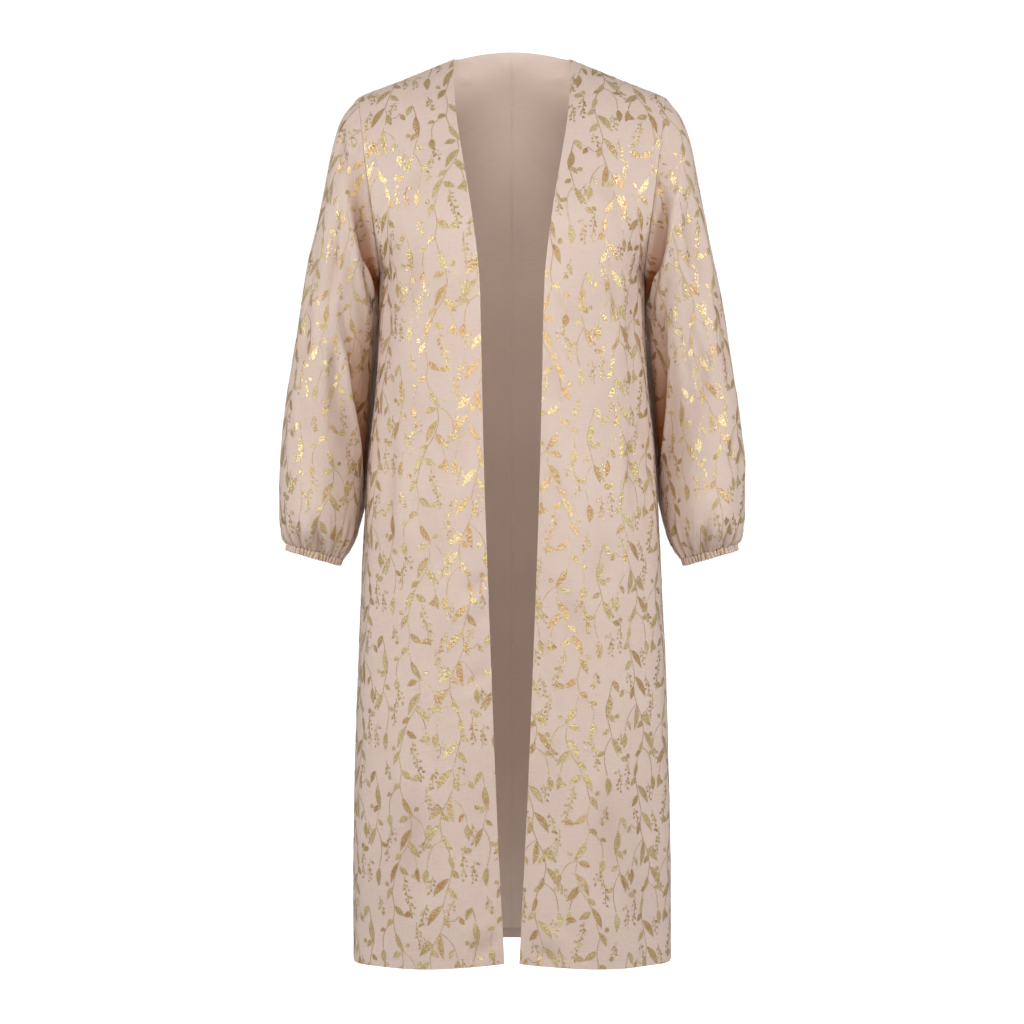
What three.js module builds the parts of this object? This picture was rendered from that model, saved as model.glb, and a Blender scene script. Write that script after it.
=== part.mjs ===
// Open-front dress with long full sleeves gathered into elastic cuffs, hollow as it hangs when worn.
// Millimetres, +Z up, the front facing -Y and the wearer's left at +X. The origin is midway between
// the two points where the shoulder seams meet the neckline, which is where the shoulders carry it.
import * as THREE from "three";

// Cloth and making.
const WALL = 1.5; // thickness of one layer of cloth
const TURNED_WALL = 2.6; // thickness where an edge is turned under
const HEM_DEPTH = 12;
const FRONT_TURNING = 10;
const TURNING_STEP = 2; // width over which the turned edge steps down to one layer
const SEAM_GAP = 0.3;

// Main sizes.
const NECK_HALF_WIDTH = 76;
const SHOULDER_TIP = { x: 199, z: -50 };
const UNDERARM = { x: 171, z: -280 };
const ARMHOLE_FRONT_DEPTH = 63;
const ARMHOLE_BACK_DEPTH = 62;
const FRONT_EDGE_HEM_Z = -1160;
const BACK_HEM_Z = -1160;
const SIDE_HEM_Z = -1165;
const BACK_NECK = { y: 68, z: 18 };
const UNDERARM_UP = 0.76; // share of a panel's height at which the side seam ends and the armhole begins
const SHOULDER_SHARE = 0.53; // share of the back's top edge that is shoulder seam, the rest being neckline
const NECK_SHAPING_UP = 0.84; // the back panel begins to bend round the neck above this share
const PANEL_WIDTH = 240; // round figure for the width of a panel's cloth
const TUCK_ANGLE = 230; // where on a sleeve its inner back is drawn in behind the body, in degrees
const TUCK_WIDTH = 27;

// Grid sizes.
const PANEL_COLUMNS = 12;
const PANEL_ROWS = 24;
const SLEEVE_SEGMENTS = 60;
const SLEEVE_ROWS = 14;
const CUFF_RUCHES = 44;
const SEGMENTS_PER_RUCHE = 4;

// Cuffs and the gathers above them.
const CUFF_HEIGHT = 10;
const CUFF_BULGE = 1.2;
const RUCHE_HEIGHT = 1.1;
const SLEEVE_GATHERS = 15;
const GATHER_DRIFT = 1.6; // how unevenly the gathers are spread, over half the way round
const GATHER_HEIGHT = 3.4;
const GATHER_START = 0.83; // share of the sleeve's length where the gathers begin
const GATHER_PEAK = 0.7; // share of the gathers' length at which they are tallest
const GATHER_HEIGHT_AT_CUFF = 0.35; // share of the gathers' height left where they enter the cuff

// Sections of a front panel, from the hem (at 0) to the shoulder seam (at 1). edgeX and edgeY place the
// front edge; lean is how far the cloth heads forward there, in degrees, over the length lead; turn is
// its heading at the side, in degrees back from sideways, over the length wrap; crown lifts the middle.
const FRONT_SECTIONS = [
  { at: 0.0, edgeX: 9.4, edgeY: -119, lean: 25, lead: 124, turn: 90, wrap: 96, crown: -3.5 },
  { at: 0.18, edgeX: 19.6, edgeY: -125, lean: 19, lead: 116, turn: 90, wrap: 96, crown: 0 },
  { at: 0.4, edgeX: 29.6, edgeY: -129, lean: 13, lead: 106, turn: 90, wrap: 94, crown: 0 },
  { at: 0.51, edgeX: 34.2, edgeY: -131, lean: 10, lead: 98, turn: 90, wrap: 90, crown: 0 },
  { at: 0.62, edgeX: 37.4, edgeY: -132, lean: 7, lead: 90, turn: 90, wrap: 84, crown: 0 },
  { at: 0.71, edgeX: 39.6, edgeY: -131, lean: 5, lead: 82, turn: 90, wrap: 80, crown: 0 },
  { at: 0.76, edgeX: 42.2, edgeY: -127, lean: 4, lead: 78, turn: 90, wrap: 74, crown: 0 },
  { at: 0.83, edgeX: 52.4, edgeY: -112, lean: 7, lead: 64, turn: 62, wrap: 52, crown: 2 },
  { at: 0.88, edgeX: 62.2, edgeY: -95, lean: 10, lead: 50, turn: 24, wrap: 46, crown: 5 },
  { at: 0.93, edgeX: 71.2, edgeY: -69, lean: 8, lead: 44, turn: 8, wrap: 42, crown: 9 },
  { at: 0.97, edgeX: 75.2, edgeY: -34, lean: 3, lead: 41, turn: 2, wrap: 41, crown: 7 },
  { at: 1.0, edgeX: 76.0, edgeY: 0, lean: 0, lead: 41, turn: 0, wrap: 41, crown: 0 },
];

// Sections of a back panel at the same shares: centreY places the centre back, and lead is the length
// over which the cloth lies flat beside it.
const BACK_SECTIONS = [
  { at: 0.0, centreY: 141, lead: 128, turn: 90, wrap: 96, crown: -1 },
  { at: 0.18, centreY: 134, lead: 122, turn: 90, wrap: 94, crown: 0 },
  { at: 0.4, centreY: 124, lead: 114, turn: 90, wrap: 88, crown: 0 },
  { at: 0.51, centreY: 115, lead: 106, turn: 90, wrap: 82, crown: 0 },
  { at: 0.62, centreY: 107, lead: 98, turn: 90, wrap: 76, crown: 0 },
  { at: 0.71, centreY: 108, lead: 92, turn: 90, wrap: 74, crown: 0 },
  { at: 0.76, centreY: 111, lead: 88, turn: 90, wrap: 72, crown: 0 },
  { at: 0.83, centreY: 113, lead: 80, turn: 62, wrap: 52, crown: 1 },
  { at: 0.88, centreY: 109, lead: 76, turn: 28, wrap: 50, crown: 2 },
  { at: 0.93, centreY: 98, lead: 72, turn: 12, wrap: 50, crown: 2 },
  { at: 0.97, centreY: 82, lead: 68, turn: 14, wrap: 56, crown: 0 },
  { at: 1.0, centreY: 68, lead: 62, turn: 18, wrap: 60, crown: 0 },
];

// Half the dress's width along the side seam.
const SIDE_SECTIONS = [
  { at: -1165, halfWidth: 206 },
  { at: -1000, halfWidth: 205 },
  { at: -833, halfWidth: 201 },
  { at: -703, halfWidth: 195.6 },
  { at: -572, halfWidth: 189.5 },
  { at: -490, halfWidth: 184 },
  { at: -430, halfWidth: 177.5 },
  { at: -360, halfWidth: 173 },
  { at: -280, halfWidth: 171 },
];

// Rings of a sleeve, from the armhole (at 0) to the cuff (at 1): its outer and inner line seen from the
// front, how far it reaches before and behind the side seam's plane, and how far its inner back is
// tucked in behind the body.
const SLEEVE_SECTIONS = [
  { at: 0.0, outerX: 199, outerZ: -50, innerX: 171, innerZ: -280, front: 63, back: 62, tuck: 0 },
  { at: 0.06, outerX: 220.5, outerZ: -77, innerX: 172.6, innerZ: -289, front: 66, back: 67, tuck: 0 },
  { at: 0.13, outerX: 233.5, outerZ: -116, innerX: 174.6, innerZ: -301, front: 66, back: 73, tuck: 3 },
  { at: 0.24, outerX: 246, outerZ: -182, innerX: 176.5, innerZ: -324, front: 62, back: 76, tuck: 11 },
  { at: 0.36, outerX: 260, outerZ: -255, innerX: 178.6, innerZ: -358, front: 57, back: 77, tuck: 19 },
  { at: 0.48, outerX: 273.5, outerZ: -325, innerX: 181.2, innerZ: -400, front: 54, back: 77, tuck: 25 },
  { at: 0.6, outerX: 286, outerZ: -398, innerX: 186.4, innerZ: -450, front: 55, back: 76, tuck: 27 },
  { at: 0.72, outerX: 297, outerZ: -470, innerX: 190.6, innerZ: -505, front: 59, back: 74, tuck: 26 },
  { at: 0.83, outerX: 302.3, outerZ: -540, innerX: 194.2, innerZ: -559, front: 64, back: 70, tuck: 21 },
  { at: 0.9, outerX: 302.6, outerZ: -583, innerX: 197.2, innerZ: -597, front: 66, back: 66, tuck: 13 },
  { at: 0.95, outerX: 299.6, outerZ: -609, innerX: 204.5, innerZ: -623, front: 58, back: 56, tuck: 4 },
  { at: 1.0, outerX: 292.2, outerZ: -628.4, innerX: 219.4, innerZ: -649.4, front: 31, back: 31, tuck: 0 },
];

// Folds are soft troughs and ridges. On a panel, across runs from the centre (0) to the side (1), and up
// from the hem to the shoulder. On a sleeve, across is the angle from its outer line round the front,
// and up stands for the way down from the armhole to the cuff.
const PANEL_FOLDS = {
  front_left: [
    { fromUp: 0.0, toUp: 0.62, fromAcross: 0.6, toAcross: 0.5, width: 0.13, depth: -4.5 },
    { fromUp: 0.0, toUp: 0.7, fromAcross: 0.8, toAcross: 0.72, width: 0.1, depth: 4.0 },
    { fromUp: 0.0, toUp: 0.5, fromAcross: 0.26, toAcross: 0.3, width: 0.14, depth: 3.0 },
    { fromUp: 0.6, toUp: 0.86, fromAcross: 0.5, toAcross: 0.9, width: 0.1, depth: -3.5 },
  ],
  front_right: [
    { fromUp: 0.0, toUp: 0.66, fromAcross: 0.56, toAcross: 0.48, width: 0.12, depth: -4.0 },
    { fromUp: 0.0, toUp: 0.72, fromAcross: 0.78, toAcross: 0.7, width: 0.1, depth: 4.5 },
    { fromUp: 0.0, toUp: 0.45, fromAcross: 0.3, toAcross: 0.34, width: 0.15, depth: 3.0 },
    { fromUp: 0.64, toUp: 0.86, fromAcross: 0.58, toAcross: 0.92, width: 0.09, depth: -3.0 },
  ],
  back_left: [
    { fromUp: 0.0, toUp: 0.7, fromAcross: 0.3, toAcross: 0.36, width: 0.11, depth: -6.0 },
    { fromUp: 0.0, toUp: 0.66, fromAcross: 0.56, toAcross: 0.58, width: 0.12, depth: 6.0 },
    { fromUp: 0.0, toUp: 0.5, fromAcross: 0.8, toAcross: 0.78, width: 0.1, depth: -4.5 },
  ],
  back_right: [
    { fromUp: 0.0, toUp: 0.68, fromAcross: 0.34, toAcross: 0.4, width: 0.12, depth: -6.5 },
    { fromUp: 0.0, toUp: 0.62, fromAcross: 0.6, toAcross: 0.6, width: 0.11, depth: 5.5 },
    { fromUp: 0.0, toUp: 0.54, fromAcross: 0.82, toAcross: 0.8, width: 0.1, depth: -4.5 },
  ],
};

const SLEEVE_FOLDS = {
  sleeve_left: [
    { fromUp: 0.01, toUp: 0.28, fromAcross: 84, toAcross: 166, width: 20, depth: -14 },
    { fromUp: 0.1, toUp: 0.38, fromAcross: 84, toAcross: 164, width: 14, depth: 5 },
    { fromUp: 0.26, toUp: 0.72, fromAcross: 66, toAcross: 104, width: 17, depth: -6 },
    { fromUp: 0.24, toUp: 0.88, fromAcross: 148, toAcross: 138, width: 20, depth: -8 },
    { fromUp: 0.2, toUp: 0.75, fromAcross: 300, toAcross: 280, width: 22, depth: -7 },
    { fromUp: 0.35, toUp: 0.8, fromAcross: 262, toAcross: 250, width: 16, depth: 4 },
  ],
  sleeve_right: [
    { fromUp: 0.01, toUp: 0.28, fromAcross: 84, toAcross: 166, width: 20, depth: -13 },
    { fromUp: 0.1, toUp: 0.4, fromAcross: 80, toAcross: 160, width: 13, depth: 5 },
    { fromUp: 0.26, toUp: 0.86, fromAcross: 72, toAcross: 146, width: 15, depth: -11 },
    { fromUp: 0.3, toUp: 0.76, fromAcross: 108, toAcross: 172, width: 15, depth: 5 },
    { fromUp: 0.22, toUp: 0.78, fromAcross: 296, toAcross: 276, width: 22, depth: -7 },
    { fromUp: 0.3, toUp: 0.76, fromAcross: 258, toAcross: 246, width: 16, depth: 4 },
  ],
};

const { lerp, clamp, smoothstep, degToRad } = THREE.MathUtils;
const vec = (x, y, z) => new THREE.Vector3(x, y, z);

// Reads a named column of a table of sections, smoothly between its rows.
function columnsOf(rows) {
  const slope = (name, i) => {
    const before = rows[Math.max(i - 1, 0)];
    const after = rows[Math.min(i + 1, rows.length - 1)];
    return (after[name] - before[name]) / (after.at - before.at);
  };
  return (name, at) => {
    const i = clamp(rows.findIndex((row) => row.at >= at) - 1, 0, rows.length - 2);
    const [low, high] = [rows[i], rows[i + 1]];
    const span = high.at - low.at;
    const t = (at - low.at) / span;
    const rise = high[name] - low[name];
    const [m0, m1] = [slope(name, i) * span, slope(name, i + 1) * span];
    return low[name] + t * m0 + t * t * (3 * rise - 2 * m0 - m1) + t * t * t * (m0 + m1 - 2 * rise);
  };
}

const front = columnsOf(FRONT_SECTIONS);
const back = columnsOf(BACK_SECTIONS);
const side = columnsOf(SIDE_SECTIONS);
const sleeve = columnsOf(SLEEVE_SECTIONS);

function bezier(a, b, c, d, t) {
  const s = 1 - t;
  return vec(0, 0, 0)
    .addScaledVector(a, s * s * s)
    .addScaledVector(b, 3 * s * s * t)
    .addScaledVector(c, 3 * s * t * t)
    .addScaledVector(d, t * t * t);
}

// The armhole is an ellipse in one slanting plane, which the sleeve's first ring lies in too.
const ARMHOLE_UP = vec(SHOULDER_TIP.x - UNDERARM.x, 0, SHOULDER_TIP.z - UNDERARM.z).multiplyScalar(0.5);
const ARMHOLE_CENTRE = vec(UNDERARM.x, 0, UNDERARM.z).add(ARMHOLE_UP);
const ARMHOLE_AXIS = vec(ARMHOLE_UP.z, 0, -ARMHOLE_UP.x).normalize();

// facing is -1 for the front half and 1 for the back; angle is 0 at the shoulder and PI underarm.
function armholePoint(angle, facing) {
  const depth = facing < 0 ? ARMHOLE_FRONT_DEPTH : ARMHOLE_BACK_DEPTH;
  return ARMHOLE_CENTRE.clone()
    .addScaledVector(ARMHOLE_UP, Math.cos(angle))
    .add(vec(0, facing * depth * Math.sin(angle), 0));
}

function armholeNormal(angle, facing) {
  const depth = facing < 0 ? ARMHOLE_FRONT_DEPTH : ARMHOLE_BACK_DEPTH;
  return ARMHOLE_UP.clone()
    .multiplyScalar(Math.cos(angle) / ARMHOLE_UP.lengthSq())
    .add(vec(0, (facing * Math.sin(angle)) / depth, 0))
    .normalize();
}

const armholeAngle = (up) => (Math.PI * (1 - up)) / (1 - UNDERARM_UP);

// The panels' outer side line: the side seam, then the armhole up to the shoulder tip.
function sideLine(up, facing) {
  if (up >= UNDERARM_UP) return armholePoint(armholeAngle(up), facing);
  const z = lerp(SIDE_HEM_Z, UNDERARM.z, up / UNDERARM_UP);
  return vec(side("halfWidth", z), 0, z);
}

// A section of a panel from its centre line to its side line.
function section(centre, centreHeading, sidePoint, sideHeading, crown, across) {
  const third = (sidePoint.z - centre.z) / 3;
  const first = centre.clone().add(centreHeading).add(vec(0, 0, third));
  const second = sidePoint.clone().sub(sideHeading).sub(vec(0, 0, third));
  const point = bezier(centre, first, second, sidePoint, across);
  point.z += crown * 4 * across * (1 - across);
  return point;
}

function heading(degrees, length) {
  const angle = degToRad(degrees);
  return vec(Math.cos(angle) * length, Math.sin(angle) * length, 0);
}

function frontBase(across, up) {
  const edge = vec(front("edgeX", up), front("edgeY", up), lerp(FRONT_EDGE_HEM_Z, 0, up));
  const lead = heading(-front("lean", up), front("lead", up));
  const wrap = heading(front("turn", up), front("wrap", up));
  return section(edge, lead, sideLine(up, -1), wrap, front("crown", up), across);
}

function backSection(across, up) {
  const centre = vec(0, back("centreY", up), lerp(BACK_HEM_Z, BACK_NECK.z, up));
  const wrap = heading(-back("turn", up), back("wrap", up));
  const lead = vec(back("lead", up), 0, 0);
  return section(centre, lead, sideLine(up, 1), wrap, back("crown", up), across);
}

// The back's top edge: the shoulder seam from the tip to the neck, then the neckline, which rises
// round the neck to the centre back.
function backTop(across) {
  const neckSide = vec(NECK_HALF_WIDTH, 0, 0);
  const neckShare = 1 - SHOULDER_SHARE;
  if (across >= neckShare) {
    const tip = vec(SHOULDER_TIP.x, 0, SHOULDER_TIP.z);
    return neckSide.lerp(tip, (across - neckShare) / SHOULDER_SHARE);
  }
  const turn = (across / neckShare) * (Math.PI / 2);
  return vec(
    NECK_HALF_WIDTH * Math.sin(turn),
    BACK_NECK.y * Math.cos(turn),
    BACK_NECK.z * Math.cos(turn) ** 2,
  );
}

function backBase(across, up) {
  const shaping = smoothstep(up, NECK_SHAPING_UP, 1);
  const change = backTop(across).sub(backSection(across, 1)).multiplyScalar(shaping);
  return backSection(across, up).add(change);
}

// angle is 0 on the sleeve's outer line and goes round by the front.
function sleeveBase(angle, down) {
  const outer = vec(sleeve("outerX", down), 0, sleeve("outerZ", down));
  const inner = vec(sleeve("innerX", down), 0, sleeve("innerZ", down));
  const depth = Math.sin(angle) > 0 ? sleeve("front", down) : sleeve("back", down);
  const degrees = THREE.MathUtils.radToDeg(THREE.MathUtils.euclideanModulo(angle, 2 * Math.PI));
  const tuck = sleeve("tuck", down) * Math.exp(-(((degrees - TUCK_ANGLE) / TUCK_WIDTH) ** 2));
  return outer
    .clone()
    .add(inner)
    .multiplyScalar(0.5)
    .addScaledVector(outer.sub(inner), 0.5 * Math.cos(angle))
    .add(vec(-tuck, -depth * Math.sin(angle), 0));
}

// A cuff's top ring is the sleeve's last one.
const CUFF_TOP = SLEEVE_SECTIONS.at(-1);
const CUFF_HALF_DEPTH = CUFF_TOP.front;
const CUFF_ACROSS = vec(CUFF_TOP.outerX - CUFF_TOP.innerX, 0, CUFF_TOP.outerZ - CUFF_TOP.innerZ);
const CUFF_AXIS = vec(CUFF_ACROSS.z, 0, -CUFF_ACROSS.x).normalize();
const CUFF_CENTRE = vec(CUFF_TOP.innerX, 0, CUFF_TOP.innerZ).addScaledVector(CUFF_ACROSS, 0.5);

function cuffNormal(angle) {
  return CUFF_ACROSS.clone()
    .multiplyScalar((2 * Math.cos(angle)) / CUFF_ACROSS.lengthSq())
    .add(vec(0, -Math.sin(angle) / CUFF_HALF_DEPTH, 0))
    .normalize();
}

// The outward normal of a surface given by a function of two numbers.
function normalOf(surface, a, b, stepA, stepB) {
  const alongA = surface(a + stepA, b).sub(surface(a - stepA, b));
  const alongB = surface(a, b + stepB).sub(surface(a, b - stepB));
  return alongA.cross(alongB).normalize();
}

// How far the folds in a table move a point out (or in), where across wraps round by period if given.
function foldHeight(folds, across, up, period = Infinity) {
  return folds.reduce((height, fold) => {
    const share = (up - fold.fromUp) / (fold.toUp - fold.fromUp);
    if (share < 0 || share > 1) return height;
    const fade = fold.fromUp === 0 ? Math.cos((share * Math.PI) / 2) : Math.sin(share * Math.PI);
    let offset = Math.abs(across - lerp(fold.fromAcross, fold.toAcross, share));
    offset = Math.min(offset, period - offset) / fold.width;
    return height + fold.depth * fade * Math.exp(-offset * offset);
  }, 0);
}

// A closed wall between two grids of points, each a list of rows. A tube's rows close on themselves.
function wallGeometry(outer, inner, tube) {
  const rows = outer.length;
  const columns = outer[0].length;
  const points = [...outer.flat(), ...inner.flat()];
  const at = (layer, i, j) => (layer * rows + i) * columns + (j % columns);
  const faces = [];
  const quad = (a, b, c, d) => faces.push(a, b, c, a, c, d);
  const lastColumn = tube ? columns : columns - 1;
  for (let i = 0; i < rows - 1; i++) {
    for (let j = 0; j < lastColumn; j++) {
      quad(at(0, i, j), at(0, i, j + 1), at(0, i + 1, j + 1), at(0, i + 1, j));
      quad(at(1, i, j), at(1, i + 1, j), at(1, i + 1, j + 1), at(1, i, j + 1));
    }
  }
  for (let j = 0; j < lastColumn; j++) {
    quad(at(0, 0, j), at(1, 0, j), at(1, 0, j + 1), at(0, 0, j + 1));
    quad(at(0, rows - 1, j), at(0, rows - 1, j + 1), at(1, rows - 1, j + 1), at(1, rows - 1, j));
  }
  for (let i = 0; !tube && i < rows - 1; i++) {
    quad(at(0, i, 0), at(0, i + 1, 0), at(1, i + 1, 0), at(1, i, 0));
    quad(at(0, i, lastColumn), at(1, i, lastColumn), at(1, i + 1, lastColumn), at(0, i + 1, lastColumn));
  }
  if (signedVolume(points, faces) < 0) faces.reverse();
  const geometry = new THREE.BufferGeometry().setFromPoints(points);
  geometry.setIndex(faces);
  return geometry;
}

function signedVolume(points, faces) {
  let sum = 0;
  for (let i = 0; i < faces.length; i += 3) {
    const [a, b, c] = [points[faces[i]], points[faces[i + 1]], points[faces[i + 2]]];
    sum += a.dot(b.clone().cross(c));
  }
  return sum / 6;
}

// Shares of a panel's rows or columns: close together at a turned edge, then even.
function sharesFromTurnedEdge(turning, length, count) {
  const first = [0, turning / length, (turning + TURNING_STEP) / length];
  const rest = Array.from({ length: count - 2 }, (_, i) => lerp(first[2], 1, (i + 1) / (count - 2)));
  return [...first, ...rest];
}

const evenShares = (count) => Array.from({ length: count + 1 }, (_, i) => i / count);

// Adds the underarm's own share to a panel's rows, in place of the nearest one, so the corner is kept.
function withUnderarm(shares) {
  const gap = (share) => Math.abs(share - UNDERARM_UP);
  const nearest = shares.reduce((best, share) => (gap(share) < gap(best) ? share : best));
  return shares.map((share) => (share === nearest ? UNDERARM_UP : share));
}

// The wall of one panel. wearerSide is 1 for the wearer's left and -1 for the right.
function panelGeometry(name, surface, facing, wearerSide) {
  const isFront = facing < 0;
  const folds = PANEL_FOLDS[name];
  const height = -SIDE_HEM_Z;
  const rows = withUnderarm(sharesFromTurnedEdge(HEM_DEPTH, height, PANEL_ROWS));
  const columns = isFront
    ? sharesFromTurnedEdge(FRONT_TURNING, PANEL_WIDTH, PANEL_COLUMNS)
    : evenShares(PANEL_COLUMNS);
  const step = 1e-3;
  const outer = [];
  const inner = [];
  for (const up of rows) {
    const outerRow = [];
    const innerRow = [];
    for (const across of columns) {
      const inside = (share) => clamp(share, step, 1 - step);
      const normal = normalOf(surface, inside(across), inside(up), step, step).multiplyScalar(-facing);
      const point = surface(across, up).addScaledVector(normal, foldHeight(folds, across, up));
      const onShoulder = up === 1 && (isFront || across >= 1 - SHOULDER_SHARE);
      const onArmhole = across === 1 && up >= UNDERARM_UP;
      const turned = up <= HEM_DEPTH / height || (isFront && across <= FRONT_TURNING / PANEL_WIDTH);
      if (onArmhole) {
        normal.copy(armholeNormal(armholeAngle(up), facing));
        point.copy(surface(1, up)).addScaledVector(ARMHOLE_AXIS, -SEAM_GAP / 2);
      } else if (across === 1 || onShoulder) {
        normal.setY(0).normalize();
      } else if (!isFront && across === 0) {
        normal.setX(0).normalize();
      }
      if (across === 1 || onShoulder) point.y += (facing * SEAM_GAP) / 2;
      if (!isFront && across === 0) point.x = SEAM_GAP / 2;
      const under = point.clone().addScaledVector(normal, -(turned ? TURNED_WALL : WALL));
      outerRow.push(point.setX(point.x * wearerSide));
      innerRow.push(under.setX(under.x * wearerSide));
    }
    outer.push(outerRow);
    inner.push(innerRow);
  }
  return wallGeometry(outer, inner, false);
}

// Gathers above the cuff, tallest a little way up and low where they enter it.
function gatherHeight(angle, down) {
  if (down < GATHER_START) return 0;
  const share = (down - GATHER_START) / (1 - GATHER_START);
  const rise = Math.sin((Math.min(share / GATHER_PEAK, 1) * Math.PI) / 2);
  const swell = lerp(rise, GATHER_HEIGHT_AT_CUFF, smoothstep(share, GATHER_PEAK, 1));
  return GATHER_HEIGHT * swell * Math.cos(SLEEVE_GATHERS * angle + GATHER_DRIFT * Math.sin(2 * angle));
}

function sleeveGeometry(name, wearerSide) {
  const folds = SLEEVE_FOLDS[name];
  const step = 1e-3;
  const outer = [];
  const inner = [];
  for (let i = 0; i <= SLEEVE_ROWS; i++) {
    const down = sleeveShare(i);
    const outerRow = [];
    const innerRow = [];
    for (let j = 0; j < SLEEVE_SEGMENTS; j++) {
      const angle = (2 * Math.PI * j) / SLEEVE_SEGMENTS;
      const inside = clamp(down, step, 1 - step);
      const normal = normalOf(sleeveBase, angle, inside, step, step);
      const degrees = THREE.MathUtils.radToDeg(angle);
      const lift = foldHeight(folds, degrees, down, 360) + gatherHeight(angle, down);
      const point = sleeveBase(angle, down);
      if (i === 0) {
        const facing = Math.sin(angle) > 0 ? -1 : 1;
        normal.copy(armholeNormal(Math.min(angle, 2 * Math.PI - angle), facing));
        point.addScaledVector(ARMHOLE_AXIS, SEAM_GAP / 2);
      } else if (i === SLEEVE_ROWS) {
        normal.copy(cuffNormal(angle));
        point.addScaledVector(CUFF_AXIS, -SEAM_GAP / 2);
      }
      point.addScaledVector(normal, lift);
      const under = point.clone().addScaledVector(normal, -WALL);
      outerRow.push(point.setX(point.x * wearerSide));
      innerRow.push(under.setX(under.x * wearerSide));
    }
    outer.push(outerRow);
    inner.push(innerRow);
  }
  return wallGeometry(outer, inner, true);
}

// Rings lie closer together over the sleeve head and in the gathers.
function sleeveShare(i) {
  const t = i / SLEEVE_ROWS;
  return t - 0.06 * Math.sin(2 * Math.PI * t);
}

function cuffGeometry(wearerSide) {
  const segments = CUFF_RUCHES * SEGMENTS_PER_RUCHE;
  const profile = [0, 0.5, 1];
  const outer = [];
  const inner = [];
  for (const share of profile) {
    const outerRow = [];
    const innerRow = [];
    for (let j = 0; j < segments; j++) {
      const angle = (2 * Math.PI * j) / segments;
      const ruche = RUCHE_HEIGHT * Math.cos(CUFF_RUCHES * angle);
      const normal = cuffNormal(angle);
      const point = CUFF_CENTRE.clone()
        .addScaledVector(CUFF_ACROSS, 0.5 * Math.cos(angle))
        .add(vec(0, -CUFF_HALF_DEPTH * Math.sin(angle), 0))
        .addScaledVector(CUFF_AXIS, SEAM_GAP / 2 + CUFF_HEIGHT * share)
        .addScaledVector(normal, ruche + CUFF_BULGE * Math.sin(Math.PI * share));
      const under = point.clone().addScaledVector(normal, -WALL);
      outerRow.push(point.setX(point.x * wearerSide));
      innerRow.push(under.setX(under.x * wearerSide));
    }
    outer.push(outerRow);
    inner.push(innerRow);
  }
  return wallGeometry(outer, inner, true);
}

const blushCloth = () => new THREE.MeshStandardMaterial({ color: 0xdcc5b4, roughness: 0.72, metalness: 0 });

function addPiece(group, name, geometry) {
  const mesh = new THREE.Mesh(geometry, blushCloth());
  mesh.name = name;
  group.add(mesh);
}

const dress = new THREE.Group();
for (const [wearer, wearerSide] of [["left", 1], ["right", -1]]) {
  addPiece(dress, `front_${wearer}`, panelGeometry(`front_${wearer}`, frontBase, -1, wearerSide));
  addPiece(dress, `back_${wearer}`, panelGeometry(`back_${wearer}`, backBase, 1, wearerSide));
  addPiece(dress, `sleeve_${wearer}`, sleeveGeometry(`sleeve_${wearer}`, wearerSide));
  addPiece(dress, `cuff_${wearer}`, cuffGeometry(wearerSide));
}

export default dress;
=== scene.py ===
import math

import bpy
import numpy as np
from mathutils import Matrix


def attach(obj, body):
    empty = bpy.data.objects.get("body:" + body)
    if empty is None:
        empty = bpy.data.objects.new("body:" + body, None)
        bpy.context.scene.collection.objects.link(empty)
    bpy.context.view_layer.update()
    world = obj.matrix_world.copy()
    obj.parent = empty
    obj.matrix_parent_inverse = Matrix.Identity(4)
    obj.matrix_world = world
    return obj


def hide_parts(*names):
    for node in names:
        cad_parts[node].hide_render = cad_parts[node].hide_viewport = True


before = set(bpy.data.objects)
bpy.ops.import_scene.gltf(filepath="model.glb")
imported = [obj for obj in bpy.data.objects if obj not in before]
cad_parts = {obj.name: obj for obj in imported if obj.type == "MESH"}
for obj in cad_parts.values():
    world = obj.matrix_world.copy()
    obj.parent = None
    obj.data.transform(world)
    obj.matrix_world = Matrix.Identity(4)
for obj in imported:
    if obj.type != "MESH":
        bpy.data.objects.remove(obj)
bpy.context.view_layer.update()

# Making.
CLOTH = 0.9  # thickness of one layer
TURNED = 1.8  # thickness of a turned edge
ALLOWANCE = 12  # width of the seam allowances pressed open inside
ALLOWANCE_STEP = 0.5
HEM_DEPTH = 11
FRONT_TURNING = 10
SEAM_GAP = 0.06
SEAM_DIP = 0.6
FOIL_RISE = 0.22
STITCH_LENGTH = 2.6
STITCH_PITCH = 3.3
STITCH_LINE_POINTS = 2000
STITCH_SECTIONS = ((0.0, 0.02, 0.1), (0.25, 0.2, 0.22), (0.75, 0.2, 0.22), (1.0, 0.02, 0.1))

# Main sizes, as in the solids.
NECK_HALF_WIDTH = 76
SHOULDER_TIP = (199, 0, -50)
UNDERARM = (171, 0, -280)
ARMHOLE_FRONT_DEPTH = 63
ARMHOLE_BACK_DEPTH = 62
FRONT_EDGE_HEM_Z = -1160
BACK_HEM_Z = -1160
SIDE_HEM_Z = -1165
BACK_NECK = (0, 68, 18)
UNDERARM_UP = 0.76
SHOULDER_SHARE = 0.53
NECK_SHAPING_UP = 0.84
TUCK_ANGLE = 230
TUCK_WIDTH = 27
CUFF_HEIGHT = 10
CUFF_TOP_OUTER = (292.2, 0, -628.4)
CUFF_TOP_INNER = (219.4, 0, -649.4)
CUFF_HALF_DEPTH = 31
CUFF_RUCHES = 44
RUCHE_HEIGHT = 1.2
CUFF_COLUMNS_A_RUCHE = 8
CUFF_ROWS = (0, 0.05, 0.12, 0.2, 0.32, 0.44, 0.56, 0.68, 0.8, 0.88, 0.94, 0.98, 1)
CUFF_BLOUSE = 1.8  # how far the cloth rolls out over the cuff on the outer side
SLEEVE_GATHERS = 15
GATHER_HEIGHT = 3.0
GATHER_START = 0.86
GATHER_LEAN = 0.55
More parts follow.
